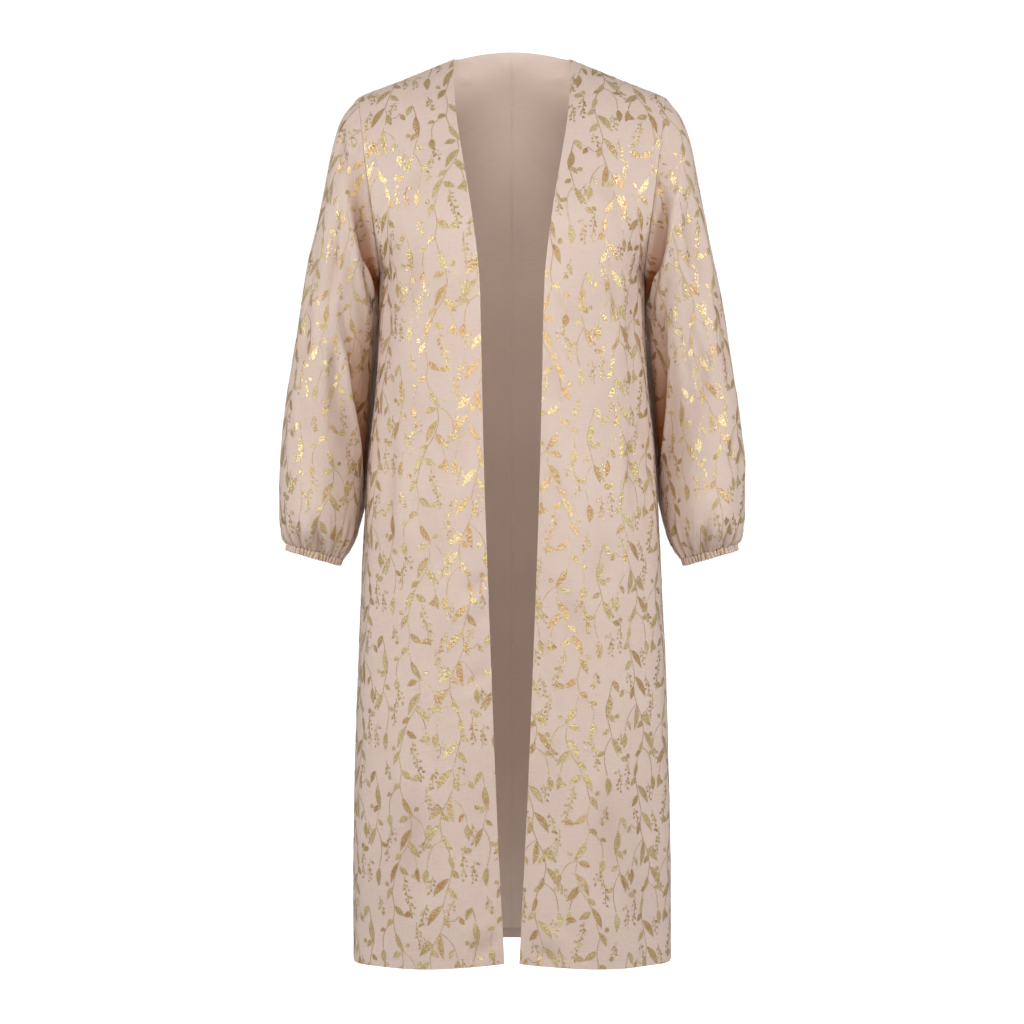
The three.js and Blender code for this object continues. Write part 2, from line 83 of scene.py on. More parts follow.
GATHER_HEIGHT_AT_CUFF = 0.35

# Grids. A piece's columns and rows are about one step apart, and closer together at its seams.
SEAM_STEPS = (0, 0.8, 1.6, 3, 5, 8)
PANEL_WIDTH, PANEL_COLUMN = 240, 4.6
PANEL_LENGTH, PANEL_ROW = 1170, 5.0
SLEEVE_COLUMN_COUNT = 241
SLEEVE_LENGTH = 490
SLEEVE_ROWS = ((0.84, 92), (1, 36))  # down to this share of the sleeve, in so many rows
PATTERN_X = 110  # where u on the flat pattern of a panel is the same as x
SLEEVE_RADIUS = 64  # turns the way round a sleeve into u on its flat pattern
SEAM_FADE = 14  # creases fade out at this distance from a seam
PANEL_RIPPLE = 0.8
SLEEVE_RIPPLE = 0.9

FRONT_COLUMNS = ("at", "edge_x", "edge_y", "lean", "lead", "turn", "wrap", "crown")
FRONT_SECTIONS = (
    (0.00, 9.4, -119, 25, 124, 90, 96, -3.5),
    (0.18, 19.6, -125, 19, 116, 90, 96, 0),
    (0.40, 29.6, -129, 13, 106, 90, 94, 0),
    (0.51, 34.2, -131, 10, 98, 90, 90, 0),
    (0.62, 37.4, -132, 7, 90, 90, 84, 0),
    (0.71, 39.6, -131, 5, 82, 90, 80, 0),
    (0.76, 42.2, -127, 4, 78, 90, 74, 0),
    (0.83, 52.4, -112, 7, 64, 62, 52, 2),
    (0.88, 62.2, -95, 10, 50, 24, 46, 5),
    (0.93, 71.2, -69, 8, 44, 8, 42, 9),
    (0.97, 75.2, -34, 3, 41, 2, 41, 7),
    (1.00, 76.0, 0, 0, 41, 0, 41, 0),
)
BACK_COLUMNS = ("at", "centre_y", "lead", "turn", "wrap", "crown")
BACK_SECTIONS = (
    (0.00, 141, 128, 90, 96, -1),
    (0.18, 134, 122, 90, 94, 0),
    (0.40, 124, 114, 90, 88, 0),
    (0.51, 115, 106, 90, 82, 0),
    (0.62, 107, 98, 90, 76, 0),
    (0.71, 108, 92, 90, 74, 0),
    (0.76, 111, 88, 90, 72, 0),
    (0.83, 113, 80, 62, 52, 1),
    (0.88, 109, 76, 28, 50, 2),
    (0.93, 98, 72, 12, 50, 2),
    (0.97, 82, 68, 14, 56, 0),
    (1.00, 68, 62, 18, 60, 0),
)
SIDE_COLUMNS = ("at", "half_width")
SIDE_SECTIONS = (
    (-1165, 206),
    (-1000, 205),
    (-833, 201),
    (-703, 195.6),
    (-572, 189.5),
    (-490, 184),
    (-430, 177.5),
    (-360, 173),
    (-280, 171),
)
SLEEVE_COLUMNS = ("at", "outer_x", "outer_z", "inner_x", "inner_z", "front", "back", "tuck")
SLEEVE_SECTIONS = (
    (0.00, 199, -50, 171, -280, 63, 62, 0),
    (0.06, 220.5, -77, 172.6, -289, 66, 67, 0),
    (0.13, 233.5, -116, 174.6, -301, 66, 73, 3),
    (0.24, 246, -182, 176.5, -324, 62, 76, 11),
    (0.36, 260, -255, 178.6, -358, 57, 77, 19),
    (0.48, 273.5, -325, 181.2, -400, 54, 77, 25),
    (0.60, 286, -398, 186.4, -450, 55, 76, 27),
    (0.72, 297, -470, 190.6, -505, 59, 74, 26),
    (0.83, 302.3, -540, 194.2, -559, 64, 70, 21),
    (0.90, 302.6, -583, 197.2, -597, 66, 66, 13),
    (0.95, 299.6, -609, 204.5, -623, 58, 56, 4),
    (1.00, 292.2, -628.4, 219.4, -649.4, 31, 31, 0),
)

# The largest folds, as in the solids. On a panel, across runs from the centre (0) to the side (1);
# on a sleeve it is the angle from the outer line round the front. The two deepest on each sleeve are
# shallower here, since LIPS adds the rest of their depth.
# Columns: from_up, to_up, from_across, to_across, width, depth.
FOLDS = {
    "front_left": (
        (0.0, 0.62, 0.6, 0.5, 0.13, -4.5), (0.0, 0.7, 0.8, 0.72, 0.1, 4.0),
        (0.0, 0.5, 0.26, 0.3, 0.14, 3.0), (0.6, 0.86, 0.5, 0.9, 0.1, -3.5),
    ),
    "front_right": (
        (0.0, 0.66, 0.56, 0.48, 0.12, -4.0), (0.0, 0.72, 0.78, 0.7, 0.1, 4.5),
        (0.0, 0.45, 0.3, 0.34, 0.15, 3.0), (0.64, 0.86, 0.58, 0.92, 0.09, -3.0),
    ),
    "back_left": (
        (0.0, 0.7, 0.3, 0.36, 0.11, -6.0), (0.0, 0.66, 0.56, 0.58, 0.12, 6.0),
        (0.0, 0.5, 0.8, 0.78, 0.1, -4.5),
    ),
    "back_right": (
        (0.0, 0.68, 0.34, 0.4, 0.12, -6.5), (0.0, 0.62, 0.6, 0.6, 0.11, 5.5),
        (0.0, 0.54, 0.82, 0.8, 0.1, -4.5),
    ),
    "sleeve_left": (
        (0.01, 0.28, 84, 166, 20, -6), (0.1, 0.38, 84, 164, 14, 3), (0.26, 0.72, 66, 104, 17, -5),
        (0.24, 0.88, 148, 138, 20, -3), (0.2, 0.75, 300, 280, 22, -7), (0.35, 0.8, 262, 250, 16, 4),
    ),
    "sleeve_right": (
        (0.01, 0.28, 84, 166, 20, -6), (0.1, 0.4, 80, 160, 13, 3), (0.26, 0.86, 72, 146, 15, -4),
        (0.3, 0.76, 108, 172, 15, 4), (0.22, 0.78, 296, 276, 22, -7), (0.3, 0.76, 258, 246, 16, 4),
    ),
}

# Folds with a sharp lip, where the sleeve's front hangs over cloth drawn in beside the body: at is the
# height above the cuff, around the way from the outer line by the front, drop how deep the cloth falls
# behind the lip, and cast the painted shade behind it.
LIP_COLUMNS = ("at", "around", "drop", "cast")
LIP_WALL = 8
LIP_REACH = 62
LIP_ROLL = 1.6
LIP_END = (172, 204)  # no drop beyond, where the sleeve is tucked in under the arm
PAINTED_SHADE_END = (203, 234)  # no painted shade beyond, on the back of the sleeve
REST_HEIGHT = 3.5  # how far the sleeve swells to rest against the body, just below the armhole
LIPS = {
    "sleeve_left": (
        (
            (276, 214, 0, 0.0), (300, 208, 0, 0.4), (327, 190, 4, 0.8), (356, 163, 10, 1.0),
            (375, 133, 12, 0.65), (403, 114, 9, 0.5), (432, 100, 6, 0.35), (479, 67, 2, 0.1),
            (510, 50, 0, 0.0),
        ),
        (
            (12, 204, 0, 0.0), (45, 208, 3, 0.8), (90, 202, 8, 1.0), (137, 182, 12, 1.0),
            (180, 165, 12, 0.9), (226, 150, 10, 0.65), (262, 141, 6, 0.4), (300, 134, 3, 0.25),
            (340, 130, 0, 0.0),
        ),
    ),
    "sleeve_right": (
        (
            (280, 216, 0, 0.0), (308, 206, 0, 0.4), (338, 184, 5, 0.9), (367, 153, 11, 1.0),
            (390, 125, 12, 0.7), (415, 106, 9, 0.55), (450, 84, 6, 0.35), (481, 66, 3, 0.2),
            (512, 52, 0, 0.0),
        ),
        (
            (14, 206, 0, 0.0), (52, 206, 4, 0.8), (88, 200, 9, 1.0), (137, 177, 12, 0.95),
            (174, 158, 12, 0.75), (211, 141, 10, 0.6), (250, 125, 8, 0.5), (286, 106, 5, 0.25),
            (330, 92, 0, 0.0),
        ),
    ),
}

# Smaller creases, placed on the flat pattern: u across from the centre line and v up from the
# hem on a panel; u round from the outer line (front negative) and v up from the cuff on a sleeve.
# Columns: u0, v0, u1, v1, width, depth, bow.
CREASE_STRENGTH = 1.6
CREASE_SHADE = 0.16  # the painted shade at a trough's bottom, against 1 in the deepest hollow
GATHER_SHADE = 0.6
RUCHE_SHADE = 0.8
FLANK_SHADE = 0.22  # on the side of a sleeve that faces the body
CREASES = {
    "front_left": (
        (20, 30, 60, 8, 9, -1.6, 2), (30, 52, 72, 30, 8, 1.0, 3), (34, 780, 70, 700, 10, -1.3, 4),
        (38, 720, 84, 610, 12, 1.2, 6), (42, 640, 66, 560, 9, -1.0, -4),
        (60, 500, 96, 400, 16, -1.6, 8), (150, 560, 120, 420, 18, 1.6, -8),
        (44, 880, 96, 800, 14, -1.5, 6), (120, 900, 150, 820, 14, -1.8, 5),
        (70, 330, 58, 200, 14, 1.4, -5), (118, 260, 132, 110, 16, -1.6, 6),
        (90, 160, 96, 40, 12, 1.2, 3), (160, 700, 168, 560, 10, -1.8, 3),
        (100, 1020, 140, 930, 12, -1.4, -6),
    ),
    "front_right": (
        (14, 40, 56, 12, 9, -1.8, 2), (24, 62, 66, 40, 9, 1.2, 3), (30, 505, 62, 470, 10, -1.5, 3),
        (34, 480, 74, 440, 9, 1.2, 4), (28, 392, 60, 348, 10, -1.5, 3), (32, 372, 70, 330, 9, 1.1, 4),
        (58, 700, 98, 590, 16, -1.5, 8), (148, 640, 116, 480, 18, 1.6, -8),
        (46, 900, 90, 820, 14, -1.4, 6), (116, 930, 150, 830, 14, -1.8, 5),
        (84, 300, 76, 160, 14, 1.4, -5), (124, 240, 140, 90, 16, -1.6, 6),
        (164, 680, 170, 540, 10, -1.8, 3), (104, 1040, 136, 950, 12, -1.2, -6),
    ),
    "back_left": (
        (20, 1080, 80, 1010, 12, -1.5, 6), (16, 1160, 60, 1168, 6, -1.2, -4),
        (34, 900, 90, 800, 16, -1.8, 8), (120, 930, 80, 820, 14, 1.6, -8),
        (60, 640, 90, 520, 16, -1.8, 6), (140, 620, 120, 470, 16, 1.8, -6),
        (40, 420, 46, 240, 14, -1.8, 4), (110, 360, 120, 180, 16, -2.0, 5),
        (150, 200, 160, 60, 12, 1.6, 4), (70, 180, 74, 50, 12, 1.5, -4),
    ),
    "back_right": (
        (18, 1076, 76, 1004, 12, -1.5, 6), (16, 1158, 60, 1166, 6, -1.2, -4),
        (40, 880, 96, 790, 16, -1.8, 8), (124, 940, 86, 830, 14, 1.6, -8),
        (56, 660, 88, 540, 16, -1.8, 6), (136, 600, 118, 460, 16, 1.8, -6),
        (44, 400, 52, 230, 14, -1.8, 4), (114, 380, 122, 200, 16, -2.0, 5),
        (152, 220, 160, 70, 12, 1.6, 4), (74, 170, 80, 44, 12, 1.5, -4),
    ),
    "sleeve_left": (
        (-52, 560, -78, 505, 8, 3.0, 4), (-66, 560, -96, 500, 7, -2.6, 5),
        (-84, 500, -98, 440, 9, 2.6, 3), (-60, 470, -70, 340, 12, -2.2, 6),
        (-34, 420, -52, 300, 12, 1.8, -6), (-20, 330, -34, 200, 12, -1.8, 5),
        (-78, 330, -92, 210, 10, 2.2, 6), (-96, 300, -88, 180, 9, -2.6, -5),
        (20, 400, 36, 250, 14, -2.2, 6), (64, 470, 84, 340, 12, -2.4, -6),
        (92, 360, 70, 220, 12, 2.2, 6), (120, 300, 130, 180, 10, -2.2, 4),
        (-36, 150, -62, 96, 8, -1.8, 3), (-6, 140, -16, 84, 8, 1.4, 3), (40, 150, 58, 90, 8, -1.8, -3),
    ),
    "sleeve_right": (
        (-34, 548, -48, 500, 7, -2.6, 3), (-44, 530, -66, 478, 8, -2.8, 4),
        (-54, 540, -74, 490, 6, 1.8, 4), (-62, 440, -84, 300, 10, -2.8, 8),
        (-76, 420, -96, 290, 9, 2.4, 6), (-92, 280, -118, 150, 11, -3.0, 6),
        (-36, 330, -52, 220, 12, -1.8, 5), (-14, 420, -26, 300, 12, 1.8, -5),
        (-44, 190, -66, 120, 8, 1.8, 4), (-22, 170, -30, 96, 8, -1.6, 3),
        (24, 420, 40, 270, 14, -2.2, 6), (68, 480, 86, 350, 12, -2.4, -6),
        (90, 350, 74, 230, 12, 2.2, 6), (118, 310, 128, 190, 10, -2.2, 4),
        (44, 150, 60, 88, 8, -1.8, -3),
    ),
}

# The leaf print's repeat: u to the right and v down from its corner. Each row of repeats drifts
# sideways, so the stems wander down the cloth.
REPEAT_WIDTH = 150
REPEAT_HEIGHT = 172
REPEAT_DRIFT = 12
DRIFT_ROWS = 12  # rows until the drift starts again
REPEATS_ASIDE = 6
PRINT_MARGIN = 40
STEM_WIDTH = 0.9
STEM_STEP = 4.5
STEMS = (
    ((20, 0), (24, 16), (22, 32), (28, 50), (36, 66), (40, 84), (36, 104), (28, 122), (26, 146),
     (32, 172)),
    ((96, 0), (92, 20), (94, 38), (88, 56), (80, 74), (78, 94), (84, 112), (94, 128), (102, 148),
     (108, 172)),
    ((137, 22), (133, 38), (128, 56), (132, 74), (136, 90)),
    ((28, 50), (18, 58), (10, 70), (6, 84)),
    ((36, 104), (48, 112), (54, 124), (56, 140)),
    ((94, 38), (106, 46), (112, 58), (112, 72)),
    ((80, 74), (68, 80), (60, 92)),
    ((84, 112), (74, 124), (70, 138)),
    ((136, 90), (128, 104), (126, 122), (130, 140)),
    ((22, 32), (12, 36), (4, 30)),
)
# Columns: u, v, length, width, angle.
LEAVES = (
    (24, 14, 33, 9.5, 36), (21, 26, 18, 8.0, -14), (28, 50, 33, 8.5, -8), (35, 63, 24, 9.5, 50),
    (38, 70, 13, 7.0, -38), (40, 84, 30, 8.5, 34), (38, 96, 22, 7.0, -24), (34, 108, 12, 6.5, -48),
    (28, 122, 21, 6.5, -16), (26, 142, 14, 8.0, -40), (28, 152, 31, 9.5, 40), (30, 164, 19, 8.0, -36),
    (4, 30, 12, 7.0, -30), (10, 70, 14, 6.0, 24), (6, 84, 22, 8.0, -6), (48, 112, 12, 6.5, 80),
    (56, 140, 20, 8.5, 6), (92, 16, 20, 8.5, -52), (94, 34, 13, 7.5, 52), (91, 50, 28, 8.5, -32),
    (80, 76, 16, 8.5, 66), (78, 90, 33, 9.0, 28), (82, 106, 26, 9.5, -38), (90, 122, 15, 7.5, 54),
    (96, 132, 32, 8.0, 26), (97, 138, 18, 8.5, -54), (106, 164, 21, 8.0, 30), (107, 47, 10, 6.0, 70),
    (112, 72, 18, 9.5, -8), (60, 92, 16, 8.0, -36), (70, 138, 20, 7.0, -10), (137, 18, 19, 8.0, 26),
    (134, 36, 32, 8.5, -10), (130, 62, 14, 7.5, 44), (136, 90, 26, 8.5, 20), (133, 80, 12, 6.5, -50),
    (127, 108, 12, 6.0, -54), (130, 140, 25, 9.0, 2), (62, 26, 14, 8.5, 78), (64, 150, 14, 9.0, 84),
    (148, 118, 13, 8.0, 74), (50, 86, 8, 6.5, 50), (116, 24, 8, 6.5, -60), (8, 112, 8, 6.5, 40),
    (120, 158, 8, 6.5, -40), (148, 62, 8, 6.5, -60), (66, 64, 8, 6.0, 60),
)
# Columns: u, v, angle, pairs.
SPRIGS = (
    (44, 14, 14, 4), (58, 36, -10, 5), (70, 2, -16, 4), (12, 122, -8, 5), (112, 98, 6, 5),
    (112, 84, -30, 3), (56, 100, 18, 3), (146, 132, 6, 4), (118, 6, -20, 3), (10, 10, 24, 3),
    (48, 150, 10, 3), (88, 152, -12, 4), (150, 84, -10, 4), (48, 56, -34, 3),
)
SPRIG_LEAF = (5.6, 3.6)  # length and width
SPRIG_STEP = 6.4
PETIOLE = 1.2
STEM_CORE = 0.45  # how well the foil holds on the thin stems, against 1 in the middle of a leaf


def vec(x, y, z):
    return np.stack(np.broadcast_arrays(np.asarray(x, float), y, z), -1).astype(float)


def unit(v):
    return v / np.maximum(np.linalg.norm(v, axis=-1, keepdims=True), 1e-9)


def mix(a, b, t):
    return a + (b - a) * t


def ease(x, low, high):
    t = np.clip((x - low) / (high - low), 0, 1)
    return t * t * (3 - 2 * t)


def bump(x, width):
    return np.exp(-((x / width) ** 2))


def sections(columns, rows):
    """Reads a named column of a table of sections, smoothly between its rows."""
    data = np.array(rows, float)
    at = data[:, 0]
    last = len(at) - 1
    before = np.maximum(np.arange(last + 1) - 1, 0)
    after = np.minimum(np.arange(last + 1) + 1, last)

    def read(name, x):
        value = data[:, columns.index(name)]
        slope = (value[after] - value[before]) / (at[after] - at[before])
        i = np.clip(np.searchsorted(at, x, side="left") - 1, 0, last - 1)
        span = at[i + 1] - at[i]
        t = (x - at[i]) / span
        rise = value[i + 1] - value[i]
        m0 = slope[i] * span
        m1 = slope[i + 1] * span
        return value[i] + t * m0 + t**2 * (3 * rise - 2 * m0 - m1) + t**3 * (m0 + m1 - 2 * rise)

    return read


front = sections(FRONT_COLUMNS, FRONT_SECTIONS)
back = sections(BACK_COLUMNS, BACK_SECTIONS)
side = sections(SIDE_COLUMNS, SIDE_SECTIONS)
sleeve = sections(SLEEVE_COLUMNS, SLEEVE_SECTIONS)

# The armhole is an ellipse in one slanting plane, which the sleeve's first ring lies in too.
TIP = np.array(SHOULDER_TIP, float)
ARMPIT = np.array(UNDERARM, float)
ARMHOLE_UP = (TIP - ARMPIT) / 2
ARMHOLE_CENTRE = ARMPIT + ARMHOLE_UP
ARMHOLE_AXIS = unit(np.array([ARMHOLE_UP[2], 0, -ARMHOLE_UP[0]]))


def armhole_point(angle, facing):
    depth = ARMHOLE_FRONT_DEPTH if facing < 0 else ARMHOLE_BACK_DEPTH
    along = ARMHOLE_CENTRE + ARMHOLE_UP * np.cos(angle)[..., None]
    return along + vec(0, facing * depth * np.sin(angle), 0)


def armhole_normal(angle, facing):
    depth = np.where(np.asarray(facing) < 0, ARMHOLE_FRONT_DEPTH, ARMHOLE_BACK_DEPTH)
    up = ARMHOLE_UP * (np.cos(angle) / (ARMHOLE_UP @ ARMHOLE_UP))[..., None]
    return unit(up + vec(0, facing * np.sin(angle) / depth, 0))


def armhole_angle(up):
    return math.pi * (1 - up) / (1 - UNDERARM_UP)


def side_line(up, facing):
    """The panels' outer side line: the side seam, then the armhole up to the shoulder tip."""
    z = mix(SIDE_HEM_Z, UNDERARM[2], up / UNDERARM_UP)
    seam = vec(side("half_width", np.minimum(z, UNDERARM[2])), 0, z)
    hole = armhole_point(armhole_angle(np.maximum(up, UNDERARM_UP)), facing)
    return np.where((up >= UNDERARM_UP)[..., None], hole, seam)


def heading(degrees, length):
    angle = np.radians(degrees)
    return vec(np.cos(angle) * length, np.sin(angle) * length, 0)


def section(centre, centre_heading, side_point, side_heading, crown, across):
    """A section of a panel from its centre line to its side line."""
    third = vec(0, 0, (side_point[..., 2] - centre[..., 2]) / 3)
    first = centre + centre_heading + third
    second = side_point - side_heading - third
    t = across[..., None]
    s = 1 - t
    point = centre * s**3 + first * 3 * s * s * t + second * 3 * s * t * t + side_point * t**3
    return point + vec(0, 0, crown * 4 * across * (1 - across))


def front_base(across, up):
    edge = vec(front("edge_x", up), front("edge_y", up), mix(FRONT_EDGE_HEM_Z, 0, up))
    lead = heading(-front("lean", up), front("lead", up))
    wrap = heading(front("turn", up), front("wrap", up))
    return section(edge, lead, side_line(up, -1), wrap, front("crown", up), across)


def back_section(across, up):
    centre = vec(0, back("centre_y", up), mix(BACK_HEM_Z, BACK_NECK[2], up))
    wrap = heading(-back("turn", up), back("wrap", up))
    lead = vec(back("lead", up), 0, 0)
    return section(centre, lead, side_line(up, 1), wrap, back("crown", up), across)


def back_top(across):
    """The back's top edge: the shoulder seam from the tip to the neck, then the neckline."""
    neck_share = 1 - SHOULDER_SHARE
    turn = np.minimum(across / neck_share, 1) * math.pi / 2
    neckline = vec(
        NECK_HALF_WIDTH * np.sin(turn),
        BACK_NECK[1] * np.cos(turn),
        BACK_NECK[2] * np.cos(turn) ** 2,
    )
    along = ((across - neck_share) / SHOULDER_SHARE)[..., None]
    seam = mix(np.array([NECK_HALF_WIDTH, 0, 0]), TIP, along)
    return np.where((across >= neck_share)[..., None], seam, neckline)


def back_base(across, up):
    shaping = ease(up, NECK_SHAPING_UP, 1)[..., None]
    change = (back_top(across) - back_section(across, np.ones_like(up))) * shaping
    return back_section(across, up) + change


def sleeve_base(angle, down):
    """angle is 0 on the sleeve's outer line and goes round by the front."""
    outer = vec(sleeve("outer_x", down), 0, sleeve("outer_z", down))
    inner = vec(sleeve("inner_x", down), 0, sleeve("inner_z", down))
    depth = np.where(np.sin(angle) > 0, sleeve("front", down), sleeve("back", down))
    tuck = sleeve("tuck", down) * bump(np.degrees(angle) % 360 - TUCK_ANGLE, TUCK_WIDTH)
    middle = (outer + inner) / 2 + (outer - inner) / 2 * np.cos(angle)[..., None]
    return middle - vec(tuck, depth * np.sin(angle), 0)


CUFF_OUTER = np.array(CUFF_TOP_OUTER, float)
CUFF_INNER = np.array(CUFF_TOP_INNER, float)
CUFF_ACROSS = CUFF_OUTER - CUFF_INNER
CUFF_MIDDLE = (CUFF_OUTER + CUFF_INNER) / 2
CUFF_AXIS = unit(np.array([CUFF_ACROSS[2], 0, -CUFF_ACROSS[0]]))


def cuff_normal(angle):
    across = CUFF_ACROSS * (2 * np.cos(angle) / (CUFF_ACROSS @ CUFF_ACROSS))[..., None]
    return unit(across + vec(0, -np.sin(angle) / CUFF_HALF_DEPTH, 0))


def grid_normals(points):
    return unit(np.cross(np.gradient(points, axis=1), np.gradient(points, axis=0)))


def fold_height(folds, across, up, period=None):
    total = np.zeros(np.broadcast(across, up).shape)
    for from_up, to_up, from_across, to_across, width, depth in folds:
        share = (up - from_up) / (to_up - from_up)
        fade = np.cos(share * math.pi / 2) if from_up == 0 else np.sin(share * math.pi)
        fade = np.where((share >= 0) & (share <= 1), fade, 0)
        offset = np.abs(across - mix(from_across, to_across, share))
        if period:
            offset = np.minimum(offset % period, period - offset % period)
        total += depth * fade * bump(offset, width)
    return total


def crease_height(creases, u, v):
    """Soft troughs and ridges along bowed lines on the flat pattern, fading out at their ends."""
    total = np.zeros(u.shape)
    for u0, v0, u1, v1, width, depth, bow in creases:
        length = math.hypot(u1 - u0, v1 - v0)
        du, dv = (u1 - u0) / length, (v1 - v0) / length
        along = ((u - u0) * du + (v - v0) * dv) / length
        offset = (u - u0) * dv - (v - v0) * du - bow * 4 * along * (1 - along)
        fade = np.sin(math.pi * np.clip(along, 0, 1)) ** 1.3
        spread = width * (0.75 + 0.5 * np.clip(along, 0, 1))
        profile = bump(offset, spread) - 0.35 * bump(offset - 1.9 * spread, spread)
        total += depth * fade * profile
    return total


def lip_height(lips, around, v):
    """The drop behind each lip, steep at the lip and easing back; and the shade behind it."""
    total = np.zeros(v.shape)
    shade = np.zeros(v.shape)
    for rows in lips:
        read = sections(LIP_COLUMNS, rows)
        at = np.clip(v, rows[0][0], rows[-1][0])
        slope = (read("around", at + 1) - read("around", at - 1)) / 2
        behind = (around - read("around", at)) / np.hypot(1, slope)
        drop = np.maximum(read("drop", at), 0)
        wall = ease(behind, 0, LIP_WALL) * ease(behind, LIP_REACH, LIP_WALL)
        wall *= 1 - ease(around, *LIP_END)
        total += LIP_ROLL * drop / 12 * bump(behind + 4, 5) - drop * wall
        spread = ease(behind, 0.5, 12) * ease(behind, 1.5 * LIP_REACH, LIP_REACH)
        spread *= 1 - ease(around, *PAINTED_SHADE_END)
        shade = np.maximum(shade, read("cast", at) * spread)
    return total, shade


def crease_shade(creases):
    return CREASE_SHADE * np.clip(-creases / 2, 0, 1)


def seed_of(name):
    return sum(map(ord, name))


def ripple(u, v, seed):
    """A faint unevenness, so that no stretch of cloth is perfectly smooth."""
    random = np.random.default_rng(seed)
    total = np.zeros(u.shape)
    for size, height in ((140, 1.0), (80, 0.6), (45, 0.3), (24, 0.12)):
        for _ in range(3):
            angle = random.uniform(-0.5, 0.5)
            phase = random.uniform(0, 2 * math.pi)
            across = u * math.cos(angle) * 1.3 + v * math.sin(angle) * 0.6
            swing = 0.8 * np.sin(v / size * 1.7 + phase * 2)
            total += height / 3 * np.sin(2 * math.pi * across / size + phase + swing)
    return total


def graded(length, step):
    """Shares along an edge, close together near both ends and then about one step apart."""
    low = np.array(SEAM_STEPS)
    high = length - low[::-1]
    count = max(2, round((high[0] - low[-1]) / step))
    middle = np.linspace(low[-1], high[0], count + 1)[1:-1]
    return np.concatenate([low, middle, high]) / length


def arc(points, axis):
    """Length along a grid's rows or columns, from 0 at the first."""
    steps = np.linalg.norm(np.diff(points, axis=axis), axis=-1)
    start = np.zeros_like(np.take(steps, [0], axis=axis))
    return np.concatenate([start, np.cumsum(steps, axis=axis)], axis=axis)


class Shell:
    """A sheet of cloth as a grid: outer and inner points, place on the flat pattern, shade in hollows.

    reverse says where the inner side shows the reverse of the cloth and not a turned edge.
    """

    def __init__(self, outer, depth, u, v, shade, reverse, mirrored):
        mirror = [-1, 1, 1] if mirrored else [1, 1, 1]
        self.outer = outer * mirror
        self.inner = (outer - depth) * mirror
        self.u = u
        self.v = v
        self.shade = np.clip(shade, 0, 1)
        self.reverse = np.broadcast_to(reverse, u.shape)[:-1, :-1].ravel()


def seam_relief(distance, along, seed):
    """Cloth dips into a seam and puckers a little beside it."""
    pucker = 0.5 + 0.5 * np.sin(2 * math.pi * along / 11 + 2.2 * np.sin(along / 37 + seed))
    return -SEAM_DIP * bump(distance, 1.7) - 0.4 * pucker * bump(distance - 2.5, 4.5)


def make_panel(name, base, facing, mirrored):
    is_front = facing < 0
    rows = graded(PANEL_LENGTH, PANEL_ROW)
    rows[np.argmin(np.abs(rows - UNDERARM_UP))] = UNDERARM_UP
    across, up = np.meshgrid(graded(PANEL_WIDTH, PANEL_COLUMN), rows)
    points = base(across, up)
    normal = grid_normals(points) * -facing
    width = arc(points, 1)
    start = np.array([np.interp(PATTERN_X, x, w) for x, w in zip(points[..., 0], width)])
    u = width - start[:, None] + PATTERN_X
    middle = points.shape[1] // 2
    v = np.broadcast_to(arc(points[:, middle : middle + 1], 0), u.shape)
    to_side = width[:, -1:] - width
    to_top = v[-1] - v
    on_shoulder = np.ones_like(u) if is_front else ease(across, 0.4, 0.5)

    creases = crease_height(CREASES[name], u, v)
    lift = CREASE_STRENGTH * creases + PANEL_RIPPLE * ripple(u, v, seed_of(name))
    lift *= ease(to_side, 0, SEAM_FADE) * (1 - on_shoulder * ease(to_top, SEAM_FADE, 0))
    if not is_front:
        lift *= ease(width, 0, SEAM_FADE)
    lift += fold_height(FOLDS[name], across, up)
    lift += seam_relief(to_side, v, 1) + seam_relief(to_top, u, 2) * on_shoulder
    lift += -0.35 * bump(v - HEM_DEPTH, 1.4) + 0.25 * np.sin(u / 2.3 + np.sin(u / 9)) * bump(v - 8, 6)
    if is_front:
        lift += -0.2 * bump(width - FRONT_TURNING, 1.2)
        lift += 0.2 * np.sin(v / 3.1 + np.sin(v / 11)) * bump(width - 6, 5)
    else:
        lift += seam_relief(width, v, 3)
    points = points + normal * lift[..., None]

    # Its edges face their neighbours squarely, across the seam's gap.
    normal = grid_normals(points) * -facing
    flat_y = unit(normal * [1, 0, 1])
    in_armhole = (up >= UNDERARM_UP)[..., None]
    hole = armhole_normal(armhole_angle(np.maximum(up, UNDERARM_UP)), facing)
    side_wall = np.where(in_armhole, hole, flat_y)
    normal = unit(mix(normal, side_wall, bump(to_side, 6)[..., None]))
    normal = unit(mix(normal, flat_y, (bump(to_top, 6) * on_shoulder)[..., None]))
    half_gap = SEAM_GAP / 2
    seam_step = vec(0, facing * half_gap, 0)
    points[:, -1] += np.where(in_armhole[:, -1], -ARMHOLE_AXIS * half_gap, seam_step)
    points[-1] += seam_step * (on_shoulder[-1] > 0.5)[:, None]
    if not is_front:
        points[:, 0, 0] = half_gap
        normal[:, 0] = unit(normal[:, 0] * [0, 1, 1])

    turning = ease(v, HEM_DEPTH + 0.8, HEM_DEPTH)
    allowance = ease(to_side, ALLOWANCE + 1, ALLOWANCE)
    allowance = np.maximum(allowance, ease(to_top, ALLOWANCE + 1, ALLOWANCE) * on_shoulder)
    if is_front:
        turning = np.maximum(turning, ease(width, FRONT_TURNING + 0.8, FRONT_TURNING))
    else:
        allowance = np.maximum(allowance, ease(width, ALLOWANCE + 1, ALLOWANCE))
        turning = np.maximum(turning, ease(to_top, 7.8, 7) * (1 - on_shoulder))
    thickness = np.maximum(CLOTH + ALLOWANCE_STEP * allowance, mix(CLOTH, TURNED, turning))
    depth = normal * thickness[..., None]
    return Shell(points, depth, u, v, crease_shade(creases), v > HEM_DEPTH - 0.5, mirrored)


